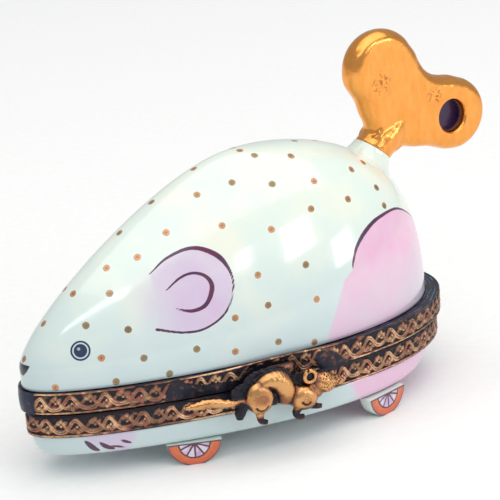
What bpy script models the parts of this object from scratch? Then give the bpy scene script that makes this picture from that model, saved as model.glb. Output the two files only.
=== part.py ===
"""Hinged porcelain trinket box in the shape of a clockwork mouse.

The nose points along -X, the feet stand on z = 0 and the mouse is symmetric about y = 0, apart from
its brass mounts: the clasp is on the mouse's left (-Y) and the hinge on its right (+Y).
Everything is drawn closed, with x = 0 halfway along the rims, and then moved along X by ORIGIN_X.
Lengths are in metres; MM turns millimetres into them.
"""

import math

import bmesh
import bpy
from mathutils import Matrix, Vector
from mathutils.geometry import interpolate_bezier

MM = 0.001
GAP = 0.4 * MM  # clear space between neighbouring pieces
SMOOTH_ANGLE = math.radians(35)
ORIGIN_X = 6.6 * MM  # how far the middle of the whole, key included, lies behind the rims' middle

# The egg-shaped plan of the two brass rims, narrow end at the nose.
RIM_HALF_LENGTH = 40.3 * MM
RIM_HALF_WIDTH = 18.45 * MM
EGG_TAPER = 0.30
BASE_RIM_INSET = 0.65 * MM  # the lower rim is this much smaller all round
RING_STEPS = 56

# Heights of the seam and of the rims.
SEAM_Z = 11.7 * MM
SEAM_GAP = 0.5 * MM
BAND_HEIGHT = 3.65 * MM
BASE_RIM_TOP = SEAM_Z - SEAM_GAP / 2
BASE_RIM_BOTTOM = BASE_RIM_TOP - BAND_HEIGHT
LID_RIM_BOTTOM = SEAM_Z + SEAM_GAP / 2
LID_RIM_TOP = LID_RIM_BOTTOM + BAND_HEIGHT

# The rims' section, as distances in from the egg outline.
BAND_THICK = 1.2 * MM
FLANGE_THICK = 0.7 * MM
FLANGE_INSET = 5.4 * MM
LIP_THICK = 0.5 * MM
LIP_INSET = 2.2 * MM
EDGE_BEVEL = 0.25 * MM
CEMENT_OUTER = BAND_THICK + GAP
CEMENT_INNER = LIP_INSET
NECK_INSET = LIP_INSET + GAP
WALL = 2.4 * MM

# The base: a shallow porcelain tray on four half-wheel feet.
BASE_BOTTOM = 3.8 * MM
FLOOR_THICK = 2.4 * MM

# The lid's profiles: the line of the snout and back, the rump, and the flank seen from the front.
LID_TOP = 46.1 * MM
APEX_X = 2.2 * MM
NOSE_X = -39.6 * MM
NOSE_Z = 18.6 * MM
SNOUT_HANDLE = Vector((0.06 * MM, 6.1 * MM))
BACK_HANDLE = 12.9 * MM
RUMP_X = 37.3 * MM
RUMP_HANDLES = Vector((22.7 * MM, 23.6 * MM))
FLANK_Y = 17.0 * MM
FLANK_HANDLES = Vector((10.5 * MM, 13.2 * MM))
LID_RINGS = 15
LID_INNER_RINGS = 9

# The wheels: half discs under the base, each turned to follow the base's side.
WHEEL_RADIUS = 4.5 * MM
WHEEL_THICK = 2.5 * MM
WHEEL_CENTRE_Z = 4.3 * MM  # a little under the radius, which leaves a ground flat to stand on
WHEEL_STEPS = 16
WHEELS = {
    "front": (Vector((-17.0 * MM, 12.8 * MM)), math.radians(-24)),
    "rear": (Vector((18.2 * MM, 17.6 * MM)), math.radians(13)),
}

# The key: a round stem that leans back and a flat bow of two round lobes, in the plane y = 0.
# The bow's outline is given across and along the stem; its lower edges run straight from the stem.
KEY_FOOT = Vector((31.6 * MM, 0, 39.2 * MM))
KEY_LEAN = math.radians(50)
BOW_TILT = 0.065  # how far along the stem the bow shifts for each step across it
LOBE_ACROSS = 9.3 * MM
LOBE_ALONG = 12.86 * MM
LOBE_RADIUS = 6.75 * MM
LOBE_START = math.radians(-78)
LOBE_END = math.radians(118)
LOBE_STEPS = 13
BOW_FOOT = [
    Vector(point) * MM for point in ((3.2, 0.9), (3.65, 2.5), (4.7, 3.3), (6.2, 4.0), (7.6, 4.9))
]
BOW_VALLEY = [Vector(point) * MM for point in ((3.4, 17.75), (1.5, 16.95), (0, 16.75))]
KEY_THICK = 5.1 * MM
KEY_ROUNDING = 1.4 * MM
KEY_HOLE_ACROSS = 8.4 * MM
KEY_HOLE_ALONG = 12.3 * MM
KEY_HOLE_RADIUS = 2.7 * MM
KEY_HOLE_DEPTH = 2.4 * MM
STEM_RADIUS = 3.6 * MM
STEM_SKEW = -1.8 * MM  # how far the stem's foot stands to one side of the bow's middle
SKEW_REACH = 9.0 * MM  # how far up the stem straightens
STUB_RADIUS = 4.0 * MM

# The hinge: five knuckles on one pin along X, outside the right-hand side of the rims.
HINGE_X = 10.0 * MM
HINGE_Y = RIM_HALF_WIDTH + 1.5 * MM
KNUCKLE_LENGTH = 2.8 * MM
KNUCKLE_RADIUS = 1.2 * MM
PIN_RADIUS = 0.5 * MM
PIN_CLEARANCE = 0.1 * MM
PIN_OVERHANG = 0.4 * MM
LEAF_THICK = 0.6 * MM
LEAF_HEIGHT = 2.9 * MM

# The clasp: a sprung fork on the lid's rim, with a cast mouse on its face.
CLASP_X = -3.0 * MM
FORK_WIDTH = 4.6 * MM
FORK_THICK = 0.6 * MM
FORK_TOP = SEAM_Z + 3.4 * MM
FORK_BOTTOM = SEAM_Z - 3.4 * MM
FORK_SLOT = 2.0 * MM
FORK_SLOT_TOP = SEAM_Z - 0.9 * MM
CLASP_AXIS_Z = SEAM_Z + 3.1 * MM
STUD_RADIUS = 0.55 * MM
STUD_Z = SEAM_Z - 2.1 * MM
STUD_FOOT = -BASE_RIM_INSET + 0.3 * MM
STUD_OUT = 1.1 * MM
CAST_BACK = 1.4 * MM  # how far the cast mouse's back stands off the band


def material(name, colour, roughness, metallic=0.0):
    """A plain Principled material."""
    made = bpy.data.materials.new(name)
    made.use_nodes = True
    made.diffuse_color = (*colour, 1)
    shader = made.node_tree.nodes["Principled BSDF"]
    shader.inputs["Base Color"].default_value = (*colour, 1)
    shader.inputs["Roughness"].default_value = roughness
    shader.inputs["Metallic"].default_value = metallic
    return made


def add_object(name, bm, finish=None):
    """An object made from a bmesh, with outward normals and smooth shading."""
    bmesh.ops.recalc_face_normals(bm, faces=bm.faces)
    mesh = bpy.data.meshes.new(name)
    bm.to_mesh(mesh)
    bm.free()
    mesh.shade_smooth()
    mesh.set_sharp_from_angle(angle=SMOOTH_ANGLE)
    if finish:
        mesh.materials.append(finish)
    made = bpy.data.objects.new(name, mesh)
    bpy.context.scene.collection.objects.link(made)
    return made


def boolean(target, cutter, operation="DIFFERENCE"):
    """Cuts target by cutter, or joins cutter to it, and hides the cutter."""
    modifier = target.modifiers.new(cutter.name, "BOOLEAN")
    modifier.object = cutter
    modifier.operation = operation
    cutter.hide_render = True
    cutter.display_type = "WIRE"


def add_axis(name, place, parent=None):
    """An empty on a joint's axis, which carries the pieces that turn about it."""
    axis = bpy.data.objects.new(name, None)
    bpy.context.scene.collection.objects.link(axis)
    axis.matrix_world = Matrix.Translation(place)
    if parent:
        attach(parent, axis)
    return axis


def attach(axis, *pieces):
    """Parents the pieces to the axis and leaves them where they are."""
    bpy.context.view_layer.update()
    for piece in pieces:
        piece.parent = axis
        piece.matrix_parent_inverse = axis.matrix_world.inverted()


def extrude(bm, face, offset):
    """Extrudes the face by this offset, which closes it into a prism."""
    extruded = bmesh.ops.extrude_face_region(bm, geom=[face])
    moved = [part for part in extruded["geom"] if isinstance(part, bmesh.types.BMVert)]
    bmesh.ops.translate(bm, verts=moved, vec=offset)


# Egg-shaped rings


def widest(taper):
    """The largest value of sin(a) * (1 - taper * cos(a))."""
    cosine = (1 - math.sqrt(1 + 8 * taper * taper)) / (4 * taper)
    return math.sqrt(1 - cosine * cosine) * (1 - taper * cosine)


def egg_point(angle, front, rear, half_width, taper=EGG_TAPER):
    """The point at this angle on an egg from x = front, at angle 0, to x = rear; -Y comes first."""
    x = (front + rear) / 2 - (rear - front) / 2 * math.cos(angle)
    swell = math.sin(angle) * (1 - taper * math.cos(angle)) / widest(taper)
    return Vector((x, -half_width * swell))


def egg_ring(z, front, rear, half_width, taper=EGG_TAPER):
    """A level ring of points on an egg."""
    points = []
    for step in range(RING_STEPS):
        flat = egg_point(2 * math.pi * step / RING_STEPS, front, rear, half_width, taper)
        points.append(Vector((flat.x, flat.y, z)))
    return points


def rim_ring(z, inset):
    """A level ring inside the rims' outline by this inset, or outside where it is negative."""
    half_length = RIM_HALF_LENGTH - inset
    return egg_ring(z, -half_length, half_length, RIM_HALF_WIDTH - inset)


def band_y(x, inset):
    """How far the rims' outline, moved in by this inset, lies from y = 0 at this x."""
    half_length = RIM_HALF_LENGTH - inset
    angle = math.acos(-x / half_length)
    return -egg_point(angle, -half_length, half_length, RIM_HALF_WIDTH - inset).y


def bridge(bm, rings, closed=False):
    """Joins each ring of vertices to the next with quads, and the last to the first if closed."""
    following = rings[1:] + (rings[:1] if closed else [])
    for lower, upper in zip(rings, following):
        count = len(lower)
        for step in range(count):
            after = (step + 1) % count
            bm.faces.new((lower[step], lower[after], upper[after], upper[step]))


def ring_solid(name, rings, finish):
    """A solid ring whose section is the closed outline that the rings of points trace."""
    bm = bmesh.new()
    bridge(bm, [[bm.verts.new(point) for point in ring] for ring in rings], closed=True)
    return add_object(name, bm, finish)


def capped_solid(name, rings, finish, ends=(None, None)):
    """A solid through the rings, each end closed by a flat face or a fan to the apex given."""
    bm = bmesh.new()
    made = [[bm.verts.new(point) for point in ring] for ring in rings]
    bridge(bm, made)
    for ring, apex in zip((made[0], made[-1]), ends):
        if apex is None:
            bm.faces.new(ring)
            continue
        tip = bm.verts.new(apex)
        for step, vertex in enumerate(ring):
            bm.faces.new((vertex, ring[(step + 1) % len(ring)], tip))
    return add_object(name, bm, finish)


# Porcelain


def bezier(start, handle_1, handle_2, end):
    return interpolate_bezier(Vector(start), Vector(handle_1), Vector(handle_2), Vector(end), 64)


def lid_profiles():
    """Three curves of (distance, height): the front, the rump and the flank."""
    foot = LID_RIM_TOP
    front = bezier(
        (NOSE_X, NOSE_Z),
        (NOSE_X + SNOUT_HANDLE.x, NOSE_Z + SNOUT_HANDLE.y),
        (APEX_X - BACK_HANDLE, LID_TOP),
        (APEX_X, LID_TOP),
    )
    rump = bezier(
        (RUMP_X, foot),
        (RUMP_X, foot + RUMP_HANDLES.y),
        (APEX_X + RUMP_HANDLES.x, LID_TOP),
        (APEX_X, LID_TOP),
    )
    flank = bezier(
        (FLANK_Y, foot),
        (FLANK_Y, foot + FLANK_HANDLES.y),
        (FLANK_HANDLES.x, LID_TOP),
        (0, LID_TOP),
    )
    return front, rump, flank


def at_height(curve, z):
    """The curve's distance where it passes this height; below its start it drops straight down."""
    for lower, upper in zip(curve, curve[1:]):
        if z <= upper.y:
            share = max(0.0, (z - lower.y) / (upper.y - lower.y))
            return lower.x + share * (upper.x - lower.x)
    return curve[-1].x


def lid_ring(profiles, z, inset=0.0, at=None):
    """A level ring of the lid at height z, with the shape that the outside has at height `at`."""
    front, rump, flank = (at_height(curve, z if at is None else at) for curve in profiles)
    return egg_ring(z, front + inset, rump - inset, flank - inset)


def make_lid_shell(finish):
    """The hollow lid: mouse-shaped outside, a plain dome inside, and a neck that fits the rim."""
    profiles = lid_profiles()
    neck_bottom = LID_RIM_BOTTOM + FLANGE_THICK + GAP
    shoulder = LID_RIM_TOP + 2 * GAP
    hollow_top = LID_TOP - WALL
    body_height = LID_TOP - shoulder

    rings = []
    for step in range(LID_INNER_RINGS):
        rise = math.cos(math.pi / 2 * (step + 0.6) / LID_INNER_RINGS)
        outside = shoulder + rise * body_height
        z = shoulder + rise * (hollow_top - shoulder)
        rings.append(lid_ring(profiles, z, 1.35 * WALL, at=outside))
    rings.append(rim_ring(neck_bottom, NECK_INSET + WALL))
    rings.append(rim_ring(neck_bottom, NECK_INSET))
    rings.append(rim_ring(shoulder, NECK_INSET))
    for step in range(LID_RINGS):
        rise = math.sin(math.pi / 2 * (step + 0.05) / LID_RINGS)
        rings.append(lid_ring(profiles, shoulder + GAP + rise * (LID_TOP - shoulder - GAP)))
    ends = (Vector((APEX_X, 0, hollow_top)), Vector((APEX_X, 0, LID_TOP)))
    shell = capped_solid("lid_shell", rings, finish, ends)

    stub_levels = [(-5.0 * MM, 0.9 * STUB_RADIUS), (-0.7 * MM, STUB_RADIUS), (0, 0.9 * STUB_RADIUS)]
    boolean(shell, capped_solid("key_stub", stem_rings(stub_levels), finish), "UNION")
    return shell


def make_base_shell(finish):
    """The shallow tray under the lower rim: a flat floor, and flanks that round in to the bottom."""
    floor = BASE_BOTTOM + FLOOR_THICK
    edge = BASE_RIM_TOP - FLANGE_THICK - GAP
    ledge = BASE_RIM_BOTTOM - GAP
    neck = BASE_RIM_INSET + NECK_INSET

    def skin(z, front, rear, side, taper):
        ends = (-RIM_HALF_LENGTH + front * MM, RIM_HALF_LENGTH - rear * MM)
        return egg_ring(z, *ends, RIM_HALF_WIDTH - side * MM, taper)

    rings = [
        rim_ring(floor, neck + WALL + 1.4 * MM),
        rim_ring(floor + 1.0 * MM, neck + WALL),
        rim_ring(edge, neck + WALL),
        rim_ring(edge, neck),
        rim_ring(ledge, neck),
        skin(ledge, 1.4, 2.7, 0.85, 0.32),
        skin(BASE_BOTTOM + 2.0 * MM, 1.8, 3.8, 0.85, 0.36),
        skin(BASE_BOTTOM + 0.6 * MM, 2.6, 5.0, 1.0, 0.39),
        skin(BASE_BOTTOM, 3.6, 6.1, 2.0, 0.39),
    ]
    return capped_solid("base_shell", rings, finish)


def make_wheel(name, place, turn, side, finish):
    """A half-disc foot with a small ground flat; side is -1 on the mouse's left, 1 on its right."""
    top = BASE_BOTTOM - GAP
    start = math.asin((WHEEL_CENTRE_Z - top) / WHEEL_RADIUS)
    bm = bmesh.new()
    corners = []
    for step in range(WHEEL_STEPS + 1):
        angle = start + (math.pi - 2 * start) * step / WHEEL_STEPS
        z = max(0.0, WHEEL_CENTRE_Z - WHEEL_RADIUS * math.sin(angle))
        corners.append(bm.verts.new((WHEEL_RADIUS * math.cos(angle), 0, z)))
    extrude(bm, bm.faces.new(corners), (0, -side * WHEEL_THICK, 0))
    wheel = add_object(name, bm, finish)
    wheel.rotation_euler.z = -side * turn
    wheel.location = (place.x, side * place.y, 0)
    return wheel


# Key


def key_point(across, along):
    """The place this far across the key's bow and along its slightly skewed stem, at y = 0."""
    stem = Vector((math.cos(KEY_LEAN), 0, math.sin(KEY_LEAN)))
    bow = Vector((math.sin(KEY_LEAN), 0, -math.cos(KEY_LEAN)))
    skew = STEM_SKEW * max(0.0, 1 - along / SKEW_REACH)
    return KEY_FOOT + stem * (along + BOW_TILT * across) + bow * (across + skew)


def stem_rings(levels, steps=24):
    """Round rings about the key's stem, from pairs of distance along it and radius."""
    bow = Vector((math.sin(KEY_LEAN), 0, -math.cos(KEY_LEAN)))
    rings = []
    for along, radius in levels:
        ring = []
        for step in range(steps):
            angle = 2 * math.pi * step / steps
            offset = bow * math.cos(angle) + Vector((0, 1, 0)) * math.sin(angle)
            ring.append(key_point(0, along) + radius * offset)
        rings.append(ring)
    return rings


def bow_outline():
    """The bow's outline as points across and along the stem, once round."""
    half = list(BOW_FOOT)
    for step in range(LOBE_STEPS + 1):
        angle = LOBE_START + (LOBE_END - LOBE_START) * step / LOBE_STEPS
        half.append(
            Vector((LOBE_ACROSS, LOBE_ALONG)) + LOBE_RADIUS * Vector((math.cos(angle), math.sin(angle)))
        )
    half += BOW_VALLEY
    return half + [Vector((-point.x, point.y)) for point in reversed(half[:-1])]


def make_key(finish):
    """The stem and bow in one piece, rounded at the edges, with a blind hole in the rear lobe."""
    bm = bmesh.new()
    half_thick = Vector((0, KEY_THICK / 2, 0))
    corners = [bm.verts.new(key_point(*point) - half_thick) for point in bow_outline()]
    extrude(bm, bm.faces.new(corners), 2 * half_thick)
    rims = [edge for edge in bm.edges if abs(edge.verts[0].co.y - edge.verts[1].co.y) < GAP]
    bmesh.ops.bevel(bm, geom=rims, offset=KEY_ROUNDING, segments=3, profile=0.5, affect="EDGES")
    key = add_object("wind_key", bm, finish)

    stem_levels = [
        (GAP, 0.95 * STEM_RADIUS),
        (3.0 * MM, 0.93 * STEM_RADIUS),
        (6.5 * MM, 0.75 * STEM_RADIUS),
        (9.0 * MM, 0.45 * STEM_RADIUS),
    ]
    boolean(key, capped_solid("key_stem", stem_rings(stem_levels), finish), "UNION")

    bm = bmesh.new()
    bmesh.ops.create_cone(
        bm,
        cap_ends=True,
        segments=24,
        radius1=KEY_HOLE_RADIUS,
        radius2=KEY_HOLE_RADIUS,
        depth=2 * KEY_HOLE_DEPTH,
        matrix=Matrix.Translation(key_point(KEY_HOLE_ACROSS, KEY_HOLE_ALONG) - half_thick)
        @ Matrix.Rotation(math.pi / 2, 4, "X"),
    )
    boolean(key, add_object("key_hole_cutter", bm))
    return key


# Brass rims, and the cement that holds each on its porcelain neck


def make_rim(name, joint_z, up, outer, finish):
    """A rim of C section: a flange at the seam, a band outside and a lip; up is 1 or -1."""

    def level(inset, rise):
        return rim_ring(joint_z + up * rise, outer + inset)

    rings = [
        level(EDGE_BEVEL, 0),
        level(FLANGE_INSET, 0),
        level(FLANGE_INSET, FLANGE_THICK),
        level(BAND_THICK, FLANGE_THICK),
        level(BAND_THICK, BAND_HEIGHT - LIP_THICK),
        level(LIP_INSET, BAND_HEIGHT - LIP_THICK),
        level(LIP_INSET, BAND_HEIGHT),
        level(EDGE_BEVEL, BAND_HEIGHT),
        level(0, BAND_HEIGHT - EDGE_BEVEL),
        level(0, EDGE_BEVEL),
    ]
    return ring_solid(name, rings, finish)


def make_cement(name, joint_z, up, outer, finish):
    """The thin bed between a rim's band and the porcelain neck."""
    near = joint_z + up * (FLANGE_THICK + GAP)
    far = joint_z + up * (BAND_HEIGHT - LIP_THICK - GAP)
    rings = [
        rim_ring(near, outer + CEMENT_OUTER),
        rim_ring(far, outer + CEMENT_OUTER),
        rim_ring(far, outer + CEMENT_INNER),
        rim_ring(near, outer + CEMENT_INNER),
    ]
    return ring_solid(name, rings, finish)


# Hinge


def hinge_place():
    return Vector((HINGE_X, HINGE_Y, SEAM_Z))


def hinge_rings(levels, steps=20):
    """Round rings about the hinge's axis, from pairs of x and radius."""
    rings = []
    for x, radius in levels:
        ring = []
        for step in range(steps):
            angle = 2 * math.pi * step / steps
            offset = Vector((0, radius * math.cos(angle), radius * math.sin(angle)))
            ring.append(Vector((x, HINGE_Y, SEAM_Z)) + offset)
        rings.append(ring)
    return rings


def make_knuckle(name, index, up, finish):
    """A barrel and the leaf that is soldered to the lid's rim (up = 1) or the base's (up = -1)."""
    centre = HINGE_X + (index - 2) * (KNUCKLE_LENGTH + GAP)
    ends = (centre - KNUCKLE_LENGTH / 2, centre + KNUCKLE_LENGTH / 2)
    bore = PIN_RADIUS + PIN_CLEARANCE
    levels = [(ends[0], KNUCKLE_RADIUS), (ends[1], KNUCKLE_RADIUS), (ends[1], bore), (ends[0], bore)]
    knuckle = ring_solid(name, hinge_rings(levels), finish)

    near = HINGE_Y - KNUCKLE_RADIUS
    root = SEAM_Z + up * (bore + GAP / 2)
    bm = bmesh.new()
    corners = [(ends[0], near, root), (ends[1], near, root)]
    corners += [(ends[1], near + LEAF_THICK, root), (ends[0], near + LEAF_THICK, root)]
    face = bm.faces.new([bm.verts.new(corner) for corner in corners])
    extrude(bm, face, (0, 0, up * LEAF_HEIGHT))
    boolean(knuckle, add_object(name + "_leaf", bm), "UNION")
    return knuckle


def make_pin(finish):
    """The hinge's pin, with a small domed end past each outer knuckle."""
    half = 2.5 * KNUCKLE_LENGTH + 2 * GAP + PIN_OVERHANG
    levels = [(-half, 0.6), (-half + PIN_OVERHANG / 2, 1), (half - PIN_OVERHANG / 2, 1), (half, 0.6)]
    rings = hinge_rings([(HINGE_X + x, share * PIN_RADIUS) for x, share in levels], steps=12)
    return capped_solid("hinge_pin", rings, finish)


# Clasp


def band_frame(x):
    """The matrix at this x on the rims' outline: X along the band, Y straight out of it, Z up."""
    reach = 0.1 * MM
    slope = (band_y(x + reach, 0) - band_y(x - reach, 0)) / (2 * reach)
    turn = math.atan(slope)
    along = Vector((math.cos(turn), -math.sin(turn), 0))
    out = Vector((-math.sin(turn), -math.cos(turn), 0))
    frame = Matrix((along, out, Vector((0, 0, 1)))).transposed().to_4x4()
    frame.translation = Vector((x, -band_y(x, 0), 0))
    return frame


def make_fork(finish):
    """The spring: a plate off the band, slotted from below so that it drops over the stud."""
    half, slot = FORK_WIDTH / 2, FORK_SLOT / 2
    outline = [(-half, FORK_TOP), (half, FORK_TOP), (half, FORK_BOTTOM), (slot, FORK_BOTTOM)]
    outline += [(slot, FORK_SLOT_TOP), (-slot, FORK_SLOT_TOP)]
    outline += [(-slot, FORK_BOTTOM), (-half, FORK_BOTTOM)]
    bm = bmesh.new()
    face = bm.faces.new([bm.verts.new((along, GAP, z)) for along, z in outline])
    extrude(bm, face, (0, FORK_THICK, 0))
    bm.transform(band_frame(CLASP_X))
    return add_object("clasp_spring", bm, finish)


def make_stud(finish):
    """The catch: a short stud with a rounded head on the base's rim."""
    neck = STUD_OUT - 0.3 * MM
    rings = []
    for out, share in ((STUD_FOOT, 1), (neck, 1), (STUD_OUT - 0.1 * MM, 0.8), (STUD_OUT, 0.45)):
        ring = []
        for step in range(14):
            angle = 2 * math.pi * step / 14
            radius = STUD_RADIUS * share
            place = Vector((radius * math.cos(angle), out, STUD_Z + radius * math.sin(angle)))
            ring.append(band_frame(CLASP_X) @ place)
        rings.append(ring)
    return capped_solid("catch_stud", rings, finish)


def blob(name, x, rise, out, size, tilt=0.0):
    """An ellipsoid of the cast mouse, this far above the seam; size is its half lengths along, out
    of and up the band."""
    bm = bmesh.new()
    bmesh.ops.create_uvsphere(bm, u_segments=12, v_segments=8, radius=1)
    bm.transform(Matrix.Diagonal((*[length * MM for length in size], 1)))
    bm.transform(Matrix.Rotation(math.radians(tilt), 4, "Y"))
    bm.transform(band_frame(x * MM) @ Matrix.Translation((0, out * MM, SEAM_Z + rise * MM)))
    return add_object(name, bm)


def make_cast_mouse(finish):
    """The mouse on the clasp: head towards the rump of the box, tail lying along the band."""
    mouse = blob("clasp_mouse", -7.4, -1.0, 2.2, (2.3, 1.7, 2.6))
    mouse.data.materials.append(finish)
    parts = {
        "cast_backing": (-5.3, 0.4, 1.7, (5.0, 0.7, 3.3), 5),
        "cast_back": (-4.1, 0.2, 2.0, (3.9, 1.6, 2.7), 15),
        "cast_shoulder": (0.1, -2.6, 2.2, (2.2, 1.6, 2.1), 10),
        "cast_head": (3.6, -0.9, 2.3, (2.5, 1.5, 1.9), 10),
        "cast_snout": (6.0, -1.2, 2.1, (1.5, 1.1, 1.0), 10),
        "cast_ear": (1.3, 0.9, 2.6, (1.2, 0.9, 1.2), 0),
        "cast_hind_leg": (-7.3, -4.1, 2.2, (0.9, 0.9, 1.5), 0),
        "cast_far_leg": (-10.6, -2.9, 2.1, (1.2, 0.9, 1.6), 0),
        "cast_fore_leg": (-1.2, -4.9, 2.2, (1.0, 0.9, 1.5), -20),
        "cast_far_fore_leg": (1.9, -4.6, 2.2, (1.4, 0.9, 0.8), 0),
    }
    for name, (x, rise, out, size, tilt) in parts.items():
        boolean(mouse, blob(name, x, rise, out, size, tilt), "UNION")

    column = [rim_ring(0, -CAST_BACK), rim_ring(SEAM_Z + 10 * MM, -CAST_BACK)]
    boolean(mouse, capped_solid("cast_back_cutter", column, None))
    boolean(mouse, make_tail(), "UNION")
    return mouse


def make_tail():
    """The thick tail, which tapers towards the nose of the box and follows the band."""
    root, tip, steps, sides = -8.5 * MM, -19.2 * MM, 9, 12
    rings = []
    for step in range(steps + 1):
        share = step / steps
        radius = (0.95 - 0.3 * share**3 - (0.3 if step == steps else 0)) * MM
        x = root + (tip - root) * share
        centre = Vector((0, 1.75 * MM, SEAM_Z + (-1.4 + 1.3 * share) * MM))
        ring = []
        for turn in range(sides):
            angle = 2 * math.pi * turn / sides
            offset = Vector((0, radius * math.cos(angle), radius * math.sin(angle)))
            ring.append(band_frame(x) @ (centre + offset))
        rings.append(ring)
    return capped_solid("cast_tail", rings, None)


def main():
    for thing in list(bpy.data.objects):
        bpy.data.objects.remove(thing, do_unlink=True)

    def glaze(piece):
        return material(piece + "_glaze", (0.80, 0.85, 0.83), 0.1)

    def brass(piece):
        return material(piece + "_brass", (0.42, 0.26, 0.13), 0.4, 1)

    def plaster(piece):
        return material(piece + "_plaster", (0.62, 0.58, 0.50), 0.9)

    make_base_shell(glaze("base"))
    for row, (place, turn) in WHEELS.items():
        for side_name, side in (("left", -1), ("right", 1)):
            name = f"wheel_{row}_{side_name}"
            paint = material(name + "_paint", (0.80, 0.19, 0.04), 0.15)
            make_wheel(name, place, turn, side, paint)
    make_rim("base_rim", BASE_RIM_TOP, -1, BASE_RIM_INSET, brass("base_rim"))
    make_cement("base_cement", BASE_RIM_TOP, -1, BASE_RIM_INSET, plaster("base_cement"))
    make_stud(brass("stud"))
    make_pin(brass("pin"))

    lid_axis = add_axis("lid_hinge_axis", hinge_place())
    attach(
        lid_axis,
        make_lid_shell(glaze("lid")),
        make_key(material("key_gilding", (0.93, 0.45, 0.12), 0.25, 1)),
        make_rim("lid_rim", LID_RIM_BOTTOM, 1, 0, brass("lid_rim")),
        make_cement("lid_cement", LID_RIM_BOTTOM, 1, 0, plaster("lid_cement")),
    )
    for index, place in enumerate(("front", "fore", "middle", "aft", "rear")):
        on_lid = index % 2 == 1
        name = f"{'lid' if on_lid else 'base'}_knuckle_{place}"
        knuckle = make_knuckle(name, index, 1 if on_lid else -1, brass(name))
        if on_lid:
            attach(lid_axis, knuckle)

    clasp_place = band_frame(CLASP_X) @ Vector((0, GAP + FORK_THICK / 2, CLASP_AXIS_Z))
    clasp_axis = add_axis("clasp_flex_axis", clasp_place, lid_axis)
    gilt = material("clasp_mouse_gilt", (0.75, 0.42, 0.18), 0.3, 1)
    attach(clasp_axis, make_fork(brass("spring")), make_cast_mouse(gilt))

    for thing in bpy.data.objects:
        if not thing.parent:
            thing.location.x -= ORIGIN_X


if __name__ == "__main__":
    main()
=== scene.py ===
import math

import bpy
import numpy as np
from mathutils import Matrix, Vector


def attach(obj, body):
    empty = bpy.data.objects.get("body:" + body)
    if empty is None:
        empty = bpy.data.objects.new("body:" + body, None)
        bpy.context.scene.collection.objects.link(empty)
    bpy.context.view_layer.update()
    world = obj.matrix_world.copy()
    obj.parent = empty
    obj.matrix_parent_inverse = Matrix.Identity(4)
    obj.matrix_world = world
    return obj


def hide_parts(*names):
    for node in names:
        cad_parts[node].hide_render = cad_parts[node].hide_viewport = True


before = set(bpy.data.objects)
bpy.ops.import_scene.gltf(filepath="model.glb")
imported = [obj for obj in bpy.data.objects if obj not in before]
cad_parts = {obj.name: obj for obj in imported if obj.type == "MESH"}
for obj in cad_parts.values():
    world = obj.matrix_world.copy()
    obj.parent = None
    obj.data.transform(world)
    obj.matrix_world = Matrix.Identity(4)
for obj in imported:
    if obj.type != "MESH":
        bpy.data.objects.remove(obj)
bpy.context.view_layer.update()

# Hinged porcelain trinket box in the shape of a clockwork mouse.
# Shapes are worked out in millimetres with x = 0 halfway along the brass rims, as the CAD part does,
# and piece() turns them into the frame's metres. The nose points along -X and the clasp is on -Y.

MM = 0.001
ORIGIN_X = 6.6  # how far the frame's origin lies behind the rims' middle
RIM_HALF_LENGTH = 40.3
RIM_HALF_WIDTH = 18.45
EGG_TAPER = 0.30
BASE_RIM_INSET = 0.65
SEAM_Z = 11.7
BASE_RIM_TOP = 11.45
LID_RIM_BOTTOM = 11.95
LID_RIM_TOP = 15.6
LID_TOP = 46.1
APEX_X = 2.2
BASE_BOTTOM = 3.8
CLASP_X = -3.0
HINGE = Vector((10.0, 19.95, SEAM_Z))
KEY_FOOT = Vector((31.6, 0, 39.2))
KEY_LEAN = math.radians(50)
FULL_TURN = 2 * math.pi


# Meshes


def circle_angles(count):
    return np.arange(count) / count * FULL_TURN


def rows(*columns):
    """Rows of numbers, one from each column; a column may be a single number."""
    return np.stack(np.broadcast_arrays(*columns), -1).astype(float)


def unit(vectors):
    return vectors / (np.linalg.norm(vectors, axis=-1, keepdims=True) + 1e-12)


def collection_object(name, mesh):
    made = bpy.data.objects.new(name, mesh)
    bpy.context.scene.collection.objects.link(made)
    return made


def grid_faces(rows, columns, wrap_rows=False, first=0):
    """Quads of a grid whose columns run round in a ring."""
    row, column = np.meshgrid(np.arange(rows - (not wrap_rows)), np.arange(columns), indexing="ij")
    after, above = (column + 1) % columns, (row + 1) % rows
    low, high = row * columns, above * columns
    corners = (low + column, low + after, high + after, high + column)
    return np.stack(corners, -1).reshape(-1, 4) + first


def fan_faces(ring, tip):
    return np.stack((ring, np.roll(ring, -1), np.full(len(ring), tip)), -1)


def outward(points, faces):
    """The faces, turned round if together they enclose a negative volume."""
    volume = 0.0
    for group in faces:
        for corner in range(1, group.shape[1] - 1):
            a, b, c = points[group[:, 0]], points[group[:, corner]], points[group[:, corner + 1]]
            volume += np.einsum("ij,ij->i", a, np.cross(b, c)).sum()
    return [group[:, ::-1] for group in faces] if volume < 0 else faces


def write_fields(mesh, fields):
    for field, values in fields.items():
        attribute = mesh.attributes.new(field, "FLOAT", "POINT")
        attribute.data.foreach_set("value", np.asarray(values, np.float32))


def piece(name, points, faces, body, slot, look, fields=None, sharp=None):
    """A finished piece from points in millimetres and arrays of faces; fields are numbers per point."""
    points = np.asarray(points, float)
    faces = outward(points, faces)
    mesh = bpy.data.meshes.new(name)
    placed = points * MM
    placed[:, 0] -= ORIGIN_X * MM
    mesh.from_pydata(placed, [], [face for group in faces for face in group.tolist()])
    mesh.shade_smooth()
    if sharp:
        mesh.set_sharp_from_angle(angle=math.radians(sharp))
    write_fields(mesh, fields or {})
    mesh.materials.append(look)
    made = collection_object(name, mesh)
    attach(made, body)
    return made


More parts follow.
